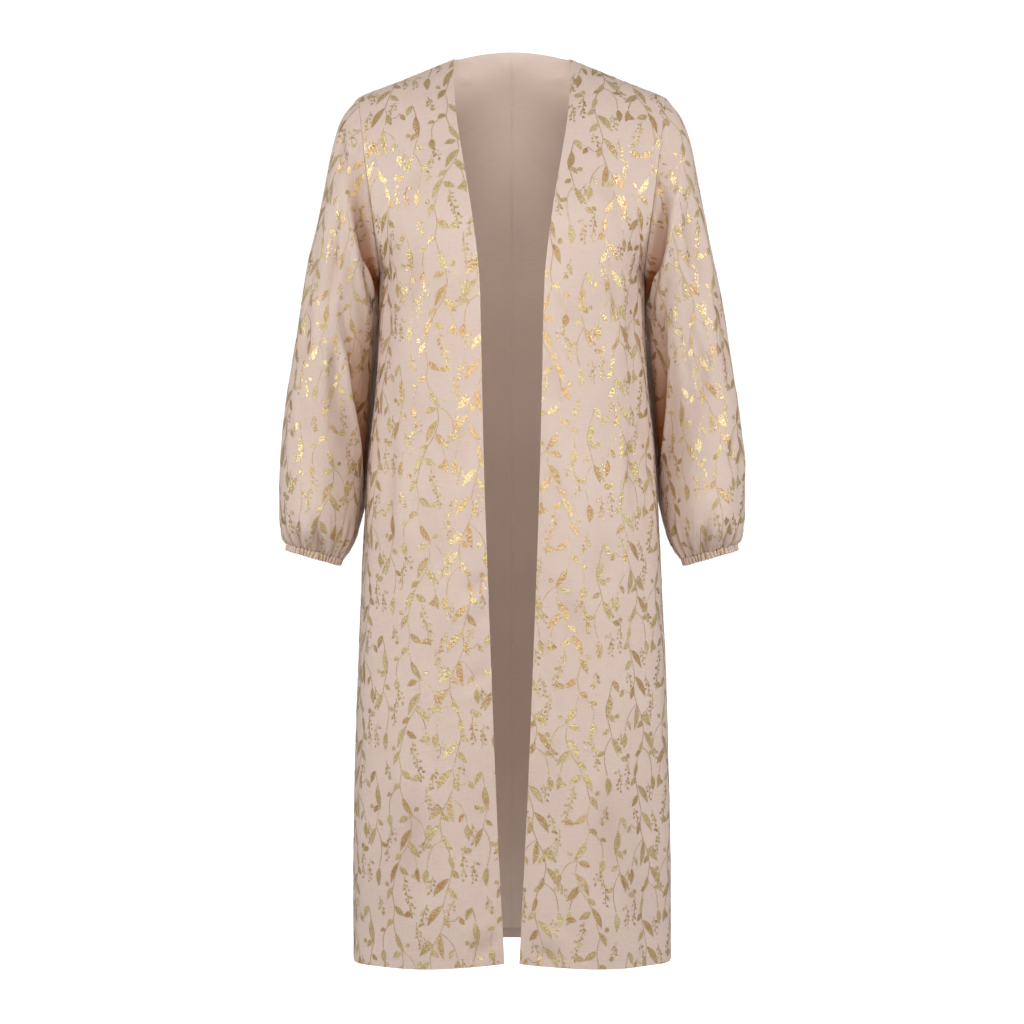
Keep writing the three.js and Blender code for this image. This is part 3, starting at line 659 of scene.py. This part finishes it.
def gather_height(angle, down):
    """Puffs of cloth with sharp valleys between them, which lean inwards away from the cuff; and
    the valleys' shade."""
    share = np.clip((down - GATHER_START) / (1 - GATHER_START), 0, 1)
    rise = ease(share, 0, 0.8) ** 1.5
    leaning = np.sin((np.abs(angle) - math.pi) / 2) ** 2
    turn = angle + np.sign(angle) * GATHER_LEAN * (1 - share) * leaning
    phase = SLEEVE_GATHERS * turn + 1.8 * np.sin(2 * turn) + 0.9 * np.sin(5 * turn + 1)
    puff = np.abs(np.sin(phase / 2)) ** 0.75
    start = 0.225 + 0.225 * np.sin(3.7 * np.round(phase / (2 * math.pi)) + 2)
    reach = ease(share, start, start + 0.45)
    swell = mix(rise, GATHER_HEIGHT_AT_CUFF, ease(share, 0.86, 1)) * reach
    small = np.abs(np.sin(15.5 * turn + 1.2 * np.sin(3 * turn + 1))) - 0.5
    shade = (1 - puff) ** 2 * rise * reach
    return swell * (GATHER_HEIGHT * (2 * puff - 1.2) + 1.6 * small * share), shade


def ruches(angle):
    return 2 * np.abs(np.cos(CUFF_RUCHES / 2 * angle)) ** 0.8 - 1.1 + 0.3 * np.cos(7 * angle + 1)


def make_sleeve(name, mirrored):
    rows = [np.array(SEAM_STEPS) / SLEEVE_LENGTH]
    for share, count in SLEEVE_ROWS:
        rows.append(np.linspace(rows[-1][-1], share, count)[1:])
    angles = np.linspace(-math.pi, math.pi, SLEEVE_COLUMN_COUNT)
    angle, down = np.meshgrid(angles, np.concatenate(rows))
    points = sleeve_base(angle, down)
    normal = grid_normals(points)
    from_cap = arc(points, 0)
    to_cuff = from_cap[-1:] - from_cap
    width = arc(points, 1)
    to_seam = np.minimum(width, width[:, -1:] - width)

    axis = unit((TIP + ARMPIT) / 2 - CUFF_MIDDLE)
    v = (points - CUFF_MIDDLE) @ axis
    v = mix(v, to_cuff, ease(v, 60, 0))
    u = -SLEEVE_RADIUS * angle
    around = SLEEVE_RADIUS * np.where(angle < -math.pi / 2, angle + 2 * math.pi, angle)

    creases = crease_height(CREASES[name], u, v)
    lift = CREASE_STRENGTH * creases + SLEEVE_RIPPLE * ripple(u, v, seed_of(name))
    lift *= ease(from_cap, 0, SEAM_FADE) * ease(to_seam, 0, SEAM_FADE)
    lift *= ease(to_cuff, 0, 30)
    lift += fold_height(FOLDS[name], np.degrees(angle) % 360, down, 360)
    gathers, valleys = gather_height(angle, down)
    drops, hollows = lip_height(LIPS[name], around, v)
    lift += gathers + drops * ease(from_cap, 4, 20)
    resting = ease(v, 282, 312) * ease(v, 390, 362)
    resting *= ease(around, 186, 204) * ease(around, 250, 228)
    lift += REST_HEIGHT * resting * ease(from_cap, 3, 22)
    lift += CUFF_BLOUSE * np.clip(np.cos(angle), 0, 1) * bump(to_cuff - 6, 10)
    lift += RUCHE_HEIGHT * ruches(angle) * ease(to_cuff, 16, 2)
    lift += 0.5 * np.sin(26 * angle + np.sin(5 * angle)) * bump(from_cap - 5, 7)
    lift += seam_relief(from_cap, SLEEVE_RADIUS * angle, 4) + 0.6 * seam_relief(to_seam, v, 5)
    flank = ease(around, 176, 206) * (1 - ease(around, *PAINTED_SHADE_END))
    flank *= FLANK_SHADE * ease(v, 20, 90)
    hollows = np.maximum(hollows, flank) * ease(from_cap, 0, 12)
    shade = np.maximum(hollows, np.maximum(GATHER_SHADE * valleys, crease_shade(creases)))

    # Its edges face the armhole and the cuff squarely, across the seam's gap.
    ring_wall = armhole_normal(np.abs(angle), np.where(np.sin(angle) > 0, -1, 1))
    away = unit(mix(ring_wall, normal, ease(from_cap, 0, 6)[..., None]))
    points = points + away * lift[..., None]
    normal = grid_normals(points)
    normal = unit(mix(normal, ring_wall, bump(from_cap, 5)[..., None]))
    normal = unit(mix(normal, cuff_normal(angle), bump(to_cuff, 4)[..., None]))
    seam_wall = unit((normal[:, :1] + normal[:, -1:]) / 2)
    normal = unit(mix(normal, seam_wall, bump(to_seam, 3)[..., None]))
    points[0] += ARMHOLE_AXIS * SEAM_GAP / 2
    points[-1] -= CUFF_AXIS * SEAM_GAP / 2
    points[:, 0, 1] += SEAM_GAP / 4
    points[:, -1, 1] -= SEAM_GAP / 4
    allowance = np.maximum(ease(from_cap, ALLOWANCE + 1, ALLOWANCE), ease(to_seam, 9, 8))
    depth = normal * (CLOTH + ALLOWANCE_STEP * allowance)[..., None]
    return Shell(points, depth, u, v, shade, True, mirrored)


def make_cuff(mirrored):
    angles = np.linspace(-math.pi, math.pi, CUFF_RUCHES * CUFF_COLUMNS_A_RUCHE + 1)
    angle, share = np.meshgrid(angles, np.array(CUFF_ROWS))
    normal = cuff_normal(angle)
    ring = CUFF_MIDDLE + CUFF_ACROSS / 2 * np.cos(angle)[..., None]
    ring = ring + vec(0, -CUFF_HALF_DEPTH * np.sin(angle), 0)
    slanting = ruches(angle + 0.05 * np.sin(9 * angle) * share)
    lift = RUCHE_HEIGHT * slanting * (1 - 0.35 * ease(share, 0.8, 1))
    lift -= bump(share - 0.10, 0.08) + 0.7 * ease(share, 0, 0.4) + 0.7 * bump(share - 0.7, 0.06)
    lift -= ease(share, 0.85, 1)
    drop = SEAM_GAP / 2 + CUFF_HEIGHT * share + 0.5 * share * ruches(angle)
    points = ring + CUFF_AXIS * drop[..., None] + normal * lift[..., None]
    depth = normal * mix(CLOTH, TURNED, ease(share, 0, 0.2))[..., None]
    shade = RUCHE_SHADE * ease(-slanting, -0.1, 0.9)
    return Shell(points, depth, -SLEEVE_RADIUS * angle, -CUFF_HEIGHT * share, shade, False, mirrored)


def in_scene(name, data):
    thing = bpy.data.objects.new(name, data)
    bpy.context.scene.collection.objects.link(thing)
    return thing


def new_object(name, vertices, faces, materials, slots=None):
    mesh = bpy.data.meshes.new(name)
    mesh.from_pydata((np.asarray(vertices) * 0.001).tolist(), [], faces)
    for material in materials:
        mesh.materials.append(material)
    if slots is not None:
        mesh.polygons.foreach_set("material_index", np.asarray(slots, np.int32))
    mesh.polygons.foreach_set("use_smooth", np.ones(len(mesh.polygons), bool))
    return in_scene(name, mesh)


def point_values(piece, label, values):
    attribute = piece.data.attributes.new(label, "FLOAT", "POINT")
    attribute.data.foreach_set("value", values)


def face_normals(points, faces):
    a, b, c = (points[faces[:, i]] for i in range(3))
    return np.cross(b - a, c - a)


def shell_object(name, shell, materials):
    """A closed thin wall from a shell, with a rounded rim, the reverse of the cloth on its inside."""
    rows, columns = shell.u.shape
    count = rows * columns
    index = np.arange(count).reshape(rows, columns)
    quads = np.stack([index[:-1, :-1], index[:-1, 1:], index[1:, 1:], index[1:, :-1]], -1).reshape(-1, 4)
    loop = np.concatenate([index[0, :-1], index[:-1, -1], index[-1, :0:-1], index[:0:-1, 0]])
    inward = np.concatenate([index[1, :-1], index[:-1, -2], index[-2, :0:-1], index[:0:-1, 1]])
    outer = shell.outer.reshape(-1, 3)
    inner = shell.inner.reshape(-1, 3)
    away = unit(outer[loop] - outer[inward])
    wall = np.linalg.norm(outer[loop] - inner[loop], axis=-1, keepdims=True)
    rim = (outer[loop] + inner[loop]) / 2 + away * np.minimum(wall, SEAM_GAP) * 0.3
    edges = np.stack([loop, 2 * count + np.arange(len(loop)), loop + count])
    following = np.roll(edges, -1, axis=1)
    bands = [np.stack([edges[i], edges[i + 1], following[i + 1], following[i]], -1) for i in range(2)]
    faces = np.concatenate([quads, quads[:, ::-1] + count, *bands])
    if face_normals(outer, quads[:1])[0] @ (outer[0] - inner[0]) <= 0:
        faces = faces[:, ::-1]
    slots = np.concatenate([np.zeros(len(quads)), shell.reverse, np.zeros(2 * len(loop))])
    piece = new_object(name, np.concatenate([outer, inner, rim]), faces.tolist(), materials, slots)
    uv = piece.data.uv_layers.new(name="flat")
    flat = np.stack([shell.u.ravel(), shell.v.ravel()], -1) * 0.001
    flat = np.concatenate([flat, flat, flat[loop]])
    corners = np.empty(len(piece.data.loops), np.int32)
    piece.data.loops.foreach_get("vertex_index", corners)
    uv.data.foreach_set("uv", flat[corners].ravel())
    shade = shell.shade.ravel()
    point_values(piece, "shade", np.concatenate([shade, 0 * shade, shade[loop]]))
    return piece


def sample(grid, row, column):
    """Reads a grid between its points, on the triangles that its quads split into."""
    i = np.clip(np.floor(row).astype(int), 0, grid.shape[0] - 2)
    j = np.clip(np.floor(column).astype(int), 0, grid.shape[1] - 2)
    s, t = row - i, column - j
    if grid.ndim == 3:
        s, t = s[..., None], t[..., None]
    low = mix(grid[i, j], grid[i, j + 1], t)
    high = mix(grid[i + 1, j], grid[i + 1, j + 1], t)
    return mix(low, high, s)


def locate(shell, u, v):
    """The rows and columns of flat points, by Newton's method, kept inside the cloth's edges."""
    rows, columns = shell.u.shape
    u_by_row, u_by_column = np.gradient(shell.u)
    v_by_row, v_by_column = np.gradient(shell.v)
    middle = columns // 2
    order = np.argsort(shell.v[:, middle])
    row = np.interp(v, shell.v[order, middle], order.astype(float))
    line = np.argsort(shell.u[rows // 2])
    column = np.interp(u, shell.u[rows // 2][line], line.astype(float))
    for _ in range(24):
        du = u - sample(shell.u, row, column)
        dv = v - sample(shell.v, row, column)
        a, b = sample(u_by_row, row, column), sample(u_by_column, row, column)
        c, d = sample(v_by_row, row, column), sample(v_by_column, row, column)
        scale = a * d - b * c
        scale = np.where(np.abs(scale) < 1e-3, 1e-3, scale)
        row = np.clip(row + np.clip((du * d - dv * b) / scale, -6, 6), 0, rows - 1)
        column = np.clip(column + np.clip((dv * a - du * c) / scale, -6, 6), 0, columns - 1)
    return row, column


def leaf_shape(length, width, stations):
    """A leaf's flat points, faces and core (0 on the rim), from its base at the origin straight down."""
    t = np.linspace(0, 1, stations)
    half = width / 2 * np.sin(math.pi * t**0.88) ** 1.05
    sway = 0.06 * length * np.sin(math.pi * t)
    points = [(0, 0)]
    for i in range(1, stations - 1):
        y = -length * t[i]
        points += [(sway[i] - half[i], y), (sway[i], y), (sway[i] + half[i], y)]
    points.append((0, -length))
    tip = len(points) - 1
    faces = [(0, 1, 2), (0, 2, 3)]
    for a in range(1, tip - 3, 3):
        faces += [(a, a + 3, a + 4), (a, a + 4, a + 1), (a + 1, a + 4, a + 5), (a + 1, a + 5, a + 2)]
    faces += [(tip - 3, tip, tip - 2), (tip - 2, tip, tip - 1)]
    core = np.zeros(len(points))
    core[2:-1:3] = 1
    return np.array(points, float) - [0, PETIOLE], faces, core


def stem_shape(points):
    """A ribbon along a stem, smooth between its points."""
    points = np.array(points, float) * [1, -1]
    at = arc(points[None], 1)[0]
    read = sections(("at", "u", "v"), np.column_stack([at, points]))
    count = max(3, round(at[-1] / STEM_STEP))
    t = np.linspace(0, at[-1], count + 1)
    line = np.stack([read("u", t), read("v", t)], -1)
    across = unit(np.gradient(line, axis=0)[:, ::-1] * [1, -1]) * STEM_WIDTH / 2
    flat = np.concatenate([line - across, line + across])
    n = count + 1
    faces = []
    for i in range(count):
        faces += [(i, i + n, i + n + 1), (i, i + n + 1, i + 1)]
    return flat, faces, np.full(2 * n, STEM_CORE)


def rotated(points, degrees):
    angle = math.radians(degrees)
    cos, sin = math.cos(angle), math.sin(angle)
    return np.asarray(points) @ np.array([[cos, sin], [-sin, cos]])


def repeat_shapes():
    """Every shape of one repeat of the print, as flat points, faces and core."""
    shapes = [stem_shape(points) for points in STEMS]
    for u, v, length, width, angle in LEAVES:
        points, faces, core = leaf_shape(length, width, 7 if length > 15 else 5)
        shapes.append((rotated(points, angle) + [u, -v], faces, core))
    points, faces, core = leaf_shape(*SPRIG_LEAF, 4)
    for u, v, angle, pairs in SPRIGS:
        line = rotated([[0, 0], [1.5, -SPRIG_STEP * pairs / 2], [0, -SPRIG_STEP * pairs]], angle)
        shapes.append(stem_shape(line * [1, -1] + [u, v]))
        for i in range(2 * pairs):
            at = rotated([0, -SPRIG_STEP * (i + 1) / 2], angle) + [u, -v]
            at += [1.1 * math.sin(7 * i + v), 0.8 * math.sin(4 * i + u)]
            tilt = angle + (50 + 24 * math.sin(5 * i + u)) * (1 if i % 2 else -1)
            size = 1 - 0.03 * i + 0.22 * math.sin(3 * i + u)
            shapes.append((rotated(points * size, tilt) + at, faces, 0.5 + 0.5 * core))
    return shapes


def print_object(name, shell, shapes, shift, material):
    """The foil print on one piece of cloth, cut off at its edges."""
    random = np.random.default_rng(seed_of(name))
    cloth = np.stack([shell.u.ravel(), shell.v.ravel()], -1)
    low, high = cloth.min(0) - PRINT_MARGIN, cloth.max(0) + PRINT_MARGIN
    flats, faces, tones, cores = [], [], [], []
    count = 0
    for row in range(math.floor(low[1] / REPEAT_HEIGHT), math.ceil(high[1] / REPEAT_HEIGHT) + 2):
        drift = (row % DRIFT_ROWS) * REPEAT_DRIFT
        for column in range(-REPEATS_ASIDE, REPEATS_ASIDE + 1):
            corner = np.array([column * REPEAT_WIDTH - drift, row * REPEAT_HEIGHT]) + shift
            for points, shape_faces, core in shapes:
                placed = points + corner
                tone = random.uniform(0, 1)
                if (placed.max(0) < low).any() or (placed.min(0) > high).any():
                    continue
                flats.append(placed)
                faces.append(np.array(shape_faces) + count)
                tones.append(np.full(len(points), tone))
                cores.append(core)
                count += len(points)
    flat, faces = np.concatenate(flats), np.concatenate(faces)
    row, column = locate(shell, flat[:, 0], flat[:, 1])
    out = unit(sample(shell.outer - shell.inner, row, column))
    place = sample(shell.outer, row, column) + out * FOIL_RISE

    # What lies past the cloth's edge is pressed flat or torn wide there, and is dropped.
    area = np.linalg.norm(face_normals(place, faces), axis=-1)
    flat_area = np.abs(face_normals(flat, faces))
    middle_row = row[faces].mean(1)
    inside = (middle_row > 0.3) & (middle_row < shell.u.shape[0] - 1.3)
    faces = faces[(area > 0.12 * flat_area) & (area < 3.5 * flat_area) & inside]
    used, packed = np.unique(faces, return_inverse=True)
    faces = packed.reshape(-1, 3)
    if face_normals(place[used], faces[:1])[0] @ out[used[faces[0, 0]]] < 0:
        faces = faces[:, ::-1]
    piece = new_object(name, place[used], faces.tolist(), [material])
    point_values(piece, "tone", np.concatenate(tones)[used])
    point_values(piece, "core", np.concatenate(cores)[used])
    point_values(piece, "shade", sample(shell.shade, row, column)[used])
    return piece


def stitch_object(name, shell, row_at, inside, material):
    """A line of stitches along a row of the cloth's grid, each a small rounded bar."""
    grid = shell.inner if inside else shell.outer
    lift = unit(shell.outer - shell.inner) * (-1 if inside else 1)
    row = np.full(STITCH_LINE_POINTS, np.interp(row_at, shell.v[:, 0], np.arange(len(shell.v))))
    columns = np.linspace(0, shell.u.shape[1] - 1, len(row))
    line = sample(grid, row, columns)
    up = sample(lift, row, columns)
    at = arc(line[None], 1)[0]

    def read(values, x):
        return np.array([np.interp(x, at, values[:, k]) for k in range(3)])

    vertices, faces = [], []
    for start in np.arange(2.0, at[-1] - 5, STITCH_PITCH):
        first = len(vertices)
        for share, rise, half in STITCH_SECTIONS:
            x = start + STITCH_LENGTH * share
            centre = read(line, x)
            out = unit(read(up, x))
            sideways = unit(np.cross(out, read(line, x + 0.5) - centre)) * half
            vertices += [centre - sideways, centre + out * rise, centre + sideways]
        for a in range(first, first + 9, 3):
            faces += [(a, a + 3, a + 4, a + 1), (a + 1, a + 4, a + 5, a + 2)]
    return new_object(name, np.array(vertices), faces, [material])


class Nodes:
    """A small helper for building the nodes of a material or of the world."""

    def __init__(self, owner, shader="Principled BSDF"):
        self.owner = owner
        owner.use_nodes = True
        self.tree = owner.node_tree
        self.shader = self.tree.nodes[shader]

    def feed(self, socket, value):
        """Gives a socket a number, a tuple or another node's output."""
        if isinstance(value, bpy.types.NodeSocket):
            self.tree.links.new(value, socket)
        elif isinstance(value, tuple):
            socket.default_value = (*value, 1)[: len(socket.default_value)]
        else:
            socket.default_value = value

    def look(self, values):
        """Fills the shader's own sockets."""
        for name, value in values.items():
            self.feed(self.shader.inputs[name], value)

    def add(self, kind, **values):
        node = self.tree.nodes.new(kind)
        for key, value in values.items():
            if key in node.inputs:
                self.feed(node.inputs[key], value)
            else:
                setattr(node, key, value)
        return node

    def object_place(self):
        return self.add("ShaderNodeTexCoord").outputs["Object"]

    def noise(self, vector, scale, detail=3.0, stretch=(1, 1, 1)):
        mapping = self.add("ShaderNodeMapping", Scale=stretch, Vector=vector)
        vector = mapping.outputs["Vector"]
        return self.add("ShaderNodeTexNoise", Scale=scale, Detail=detail, Vector=vector).outputs["Fac"]

    def ramp(self, factor, low, high, start=0.0, end=1.0):
        node = self.add("ShaderNodeValToRGB", Fac=factor)
        for element, position, colour in zip(node.color_ramp.elements, (start, end), (low, high)):
            element.position = position
            element.color = (*colour, 1)
        return node.outputs["Color"]

    def math(self, operation, *values):
        node = self.add("ShaderNodeMath", operation=operation)
        for socket, value in zip(node.inputs, values):
            self.feed(socket, value)
        return node.outputs["Value"]

    def times(self, a, b):
        return self.math("MULTIPLY", a, b)

    def between(self, share, low, high):
        return self.math("MULTIPLY_ADD", share, high - low, low)

    def blend(self, kind, factor, a, b):
        node = self.add("ShaderNodeMix", data_type="RGBA", blend_type=kind)
        for index, value in ((0, factor), (6, a), (7, b)):
            self.feed(node.inputs[index], value)
        return node.outputs[2]

    def attribute(self, label):
        return self.add("ShaderNodeAttribute", attribute_name=label).outputs["Fac"]

    def paint_hollow_shade(self, colour):
        # Paints shade into a colour: darker and warmer where the shade attribute is high.
        shade = self.attribute("shade")
        colour = self.blend("MULTIPLY", shade, colour, PAINTED_SHADE_TINT)
        return self.blend("MULTIPLY", self.math("POWER", shade, 2.0), colour, DEEP_PAINTED_SHADE_TINT)

    def glow(self, on_dress, in_view):
        """A strength that differs for the camera."""
        return self.between(self.add("ShaderNodeLightPath").outputs["Is Camera Ray"], on_dress, in_view)

    def bump(self, height, strength, distance):
        node = self.add("ShaderNodeBump", Strength=strength, Distance=distance, Height=height)
        self.look({"Normal": node.outputs["Normal"]})


WHITE = (1.0, 1.0, 1.0)
CLOTH_TONES = ((0.655, 0.505, 0.432), (0.735, 0.585, 0.505))
REVERSE_TONES = ((0.80, 0.65, 0.555), (0.875, 0.72, 0.62))
SLUB_TONE = (0.93, 0.92, 0.91)
WARP_STRETCH = (1100, 70, 1)
WEFT_STRETCH = (60, 1000, 1)
WEAVE_SCALE = 560.0
CLOTH_SPECULAR = 0.25
SHEEN_TINT = (1.0, 0.78, 0.64)
FOIL_DULL = (0.56, 0.345, 0.16)
FOIL_BRIGHT = (0.77, 0.65, 0.36)
FOIL_GRAIN = (0.62, 0.53, 0.42)
FOIL_METALLIC = (0.48, 0.14)  # where the foil is whole, and where it is worn away
FOIL_ROUGHNESS = (0.36, 0.54)
THREAD_TONES = ((0.48, 0.368, 0.304), (0.60, 0.46, 0.38))
PAINTED_SHADE_TINT = (0.60, 0.42, 0.30)  # the warm painted shade of hollows
DEEP_PAINTED_SHADE_TINT = (0.64, 0.36, 0.20)  # and the painted shade of the deepest, on top of it


def cloth_material(name, tones, roughness, sheen):
    """Plain weave with uneven yarns both ways and a soft cast of colour, with shade painted into its
    hollows.
    """
    n = Nodes(bpy.data.materials.new(name))
    flat = n.add("ShaderNodeUVMap", uv_map="flat").outputs["UV"]
    cast = n.noise(flat, 9.0, 2.0)
    warp = n.noise(flat, 1.0, 4.0, WARP_STRETCH)
    weft = n.noise(flat, 1.0, 4.0, WEFT_STRETCH)
    yarns = n.times(n.math("ADD", warp, weft), 0.5)
    share = n.math("ADD", n.times(cast, 0.55), n.times(yarns, 0.45))
    colour = n.ramp(share, *tones, 0.34, 0.66)
    colour = n.blend("MULTIPLY", 0.8, colour, n.ramp(weft, SLUB_TONE, WHITE, 0.30, 0.46))
    # Sheen and gloss are turned down where shade is painted, so the painted shade stays dark.
    in_light = n.math("SUBTRACT", 1.0, n.attribute("shade"))
    n.look({
        "Base Color": n.paint_hollow_shade(colour),
        "Roughness": n.between(yarns, roughness - 0.12, roughness + 0.12),
        "Sheen Weight": n.times(in_light, sheen),
        "Sheen Roughness": 0.45,
        "Sheen Tint": SHEEN_TINT,
        "Specular IOR Level": n.times(in_light, CLOTH_SPECULAR),
    })
    lines = [
        n.add("ShaderNodeTexWave", Scale=WEAVE_SCALE, bands_direction=axis, Vector=flat).outputs["Fac"]
        for axis in "XY"
    ]
    n.bump(n.math("MULTIPLY_ADD", n.times(*lines), 0.3, yarns), 0.35, 0.0006)
    return n.owner


def foil_material(name):
    """Thin gold foil, speckled where the weave shows through and worn away along its rims."""
    n = Nodes(bpy.data.materials.new(name))
    place = n.object_place()
    speckle = n.noise(place, 700.0)
    patches = n.noise(place, 60.0)
    shine = n.math("MULTIPLY_ADD", n.attribute("tone"), 0.4, n.times(patches, 0.6))
    colour = n.ramp(shine, FOIL_DULL, FOIL_BRIGHT, 0.25, 0.75)
    colour = n.blend("MULTIPLY", 0.8, colour, n.ramp(speckle, FOIL_GRAIN, WHITE, 0.38, 0.56))
    hold = n.math("MULTIPLY_ADD", n.attribute("core"), 0.34, speckle)
    hold = n.math("MULTIPLY_ADD", patches, 0.2, hold)
    gone = n.ramp(hold, WHITE, (0, 0, 0), 0.51, 0.63)
    colour = n.blend("MIX", n.times(gone, 0.62), colour, CLOTH_TONES[0])
    # The foil's colour takes the painted shade of the hollows too.
    n.look({
        "Base Color": n.paint_hollow_shade(colour),
        "Metallic": n.between(gone, *FOIL_METALLIC),
        "Roughness": n.between(gone, *FOIL_ROUGHNESS),
        "Specular IOR Level": 0.7,
    })
    n.bump(n.math("MULTIPLY_ADD", n.noise(place, 260.0, 2.0), 2.0, speckle), 0.6, 0.0006)
    return n.owner


def thread_material(name):
    n = Nodes(bpy.data.materials.new(name))
    twist = n.noise(n.object_place(), 2400.0, 2.0)
    n.look({"Base Color": n.ramp(twist, *THREAD_TONES, 0.3, 0.7), "Roughness": 0.6})
    n.bump(twist, 0.4, 0.0003)
    return n.owner


SENSOR = 36
LENS = 113.6
CAMERA_PLACE = (0, -4.2, -0.589)
# Lamps: place, the point each faces, size and power.
LIGHTS = {
    "front": ((0, -1.85, -0.26), (0, 0, -0.32), (1.5, 0.8), 14.6),
    "front_left": ((-2.3, -1.05, 0.46), (0, 0, -0.4), (0.7, 1.2), 27),
    "front_right": ((2.3, -1.05, 0.46), (0, 0, -0.4), (0.7, 1.2), 27),
    "back": ((0, 2.6, 0.6), (0, 0, -0.5), (2.4, 1.6), 20),
}
FLOOR_DROP = 1420
FLOOR_REACH = 30000
FLOOR_TONES = ((0.5, 0.5, 0.5), (0.54, 0.54, 0.54))
FLOOR_GLOW = (0.04, 1.1)  # as a light on the dress, and as the camera sees it
WORLD_GLOW = (0.35, 1.1)
WORLD_TONE = (1, 0.995, 0.985)


def add_camera():
    data = bpy.data.cameras.new("camera")
    data.sensor_width = SENSOR
    data.lens = LENS
    camera = in_scene("camera", data)
    camera.location = CAMERA_PLACE
    camera.rotation_euler = (math.pi / 2, 0, 0)
    bpy.context.scene.camera = camera


def add_light(name, place, target, size, power):
    data = bpy.data.lights.new(name, "AREA")
    data.shape = "RECTANGLE"
    data.size, data.size_y = size
    data.energy = power
    light = in_scene(name, data)
    light.location = place
    x, y, z = (b - a for a, b in zip(place, target))
    light.rotation_euler = (math.atan2(math.hypot(x, y), -z), 0, math.atan2(y, x) - math.pi / 2)
    light.visible_camera = False


def add_stage():
    n = Nodes(bpy.data.materials.new("floor"))
    n.look({
        "Base Color": n.ramp(n.noise(n.object_place(), 0.8), *FLOOR_TONES),
        "Roughness": 0.9,
        "Specular IOR Level": 0.1,
        "Emission Color": WHITE,
        "Emission Strength": n.glow(*FLOOR_GLOW),
    })
    signs = ((-1, -1), (1, -1), (1, 1), (-1, 1))
    corners = [(x * FLOOR_REACH, y * FLOOR_REACH, -FLOOR_DROP) for x, y in signs]
    new_object("floor", corners, [(0, 1, 2, 3)], [n.owner])

    world = Nodes(bpy.data.worlds.new("studio"), "Background")
    world.look({"Color": WORLD_TONE, "Strength": world.glow(*WORLD_GLOW)})
    bpy.context.scene.world = world.owner
    for name, values in LIGHTS.items():
        add_light(name, *values)
    bpy.context.scene.view_settings.view_transform = "Standard"


def dress_piece(name, shell, materials, shapes, shift):
    """One cut piece with its print and stitching, standing for its solid."""
    cloth, reverse, foil, thread = materials
    piece = shell_object(name + "_cloth", shell, [cloth, reverse])
    extras = [print_object(name + "_print", shell, shapes, shift, foil)]
    if name.startswith(("front", "back")):
        extras.append(stitch_object(name + "_hem_stitches", shell, HEM_DEPTH - 1.0, True, thread))
        extras.append(stitch_object(name + "_hem_catches", shell, HEM_DEPTH, False, thread))
    for part in [piece, *extras]:
        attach(part, "root")
    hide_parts(name)


# What each piece is cut to, width, length and area in metres, and the left and the right one's print
# shift.
CUTS = {
    "front": ((0.27, 1.21), 0.29, (14, 40), (62, 96)),
    "back": ((0.28, 1.22), 0.31, (30, 20), (96, 128)),
    "sleeve": ((0.42, 0.60), 0.20, (50, 60), (110, 10)),
    "cuff": ((0.33, 0.012), 0.0039, (20, 30), (70, 80)),
}


def main():
    add_camera()
    add_stage()
    materials = (
        cloth_material("blush_cloth", CLOTH_TONES, roughness=0.58, sheen=0.16),
        cloth_material("blush_reverse", REVERSE_TONES, roughness=0.8, sheen=0.1),
        foil_material("gold_foil"),
        thread_material("thread"),
    )
    shapes = repeat_shapes()
    for wearer, mirrored in (("left", False), ("right", True)):
        shells = {
            "front": make_panel(f"front_{wearer}", front_base, -1, mirrored),
            "back": make_panel(f"back_{wearer}", back_base, 1, mirrored),
            "sleeve": make_sleeve(f"sleeve_{wearer}", mirrored),
            "cuff": make_cuff(mirrored),
        }
        for kind, shell in shells.items():
            flat, area, *shifts = CUTS[kind]
            dress_piece(f"{kind}_{wearer}", shell, materials, shapes, shifts[mirrored])


main()
bpy.context.view_layer.update()
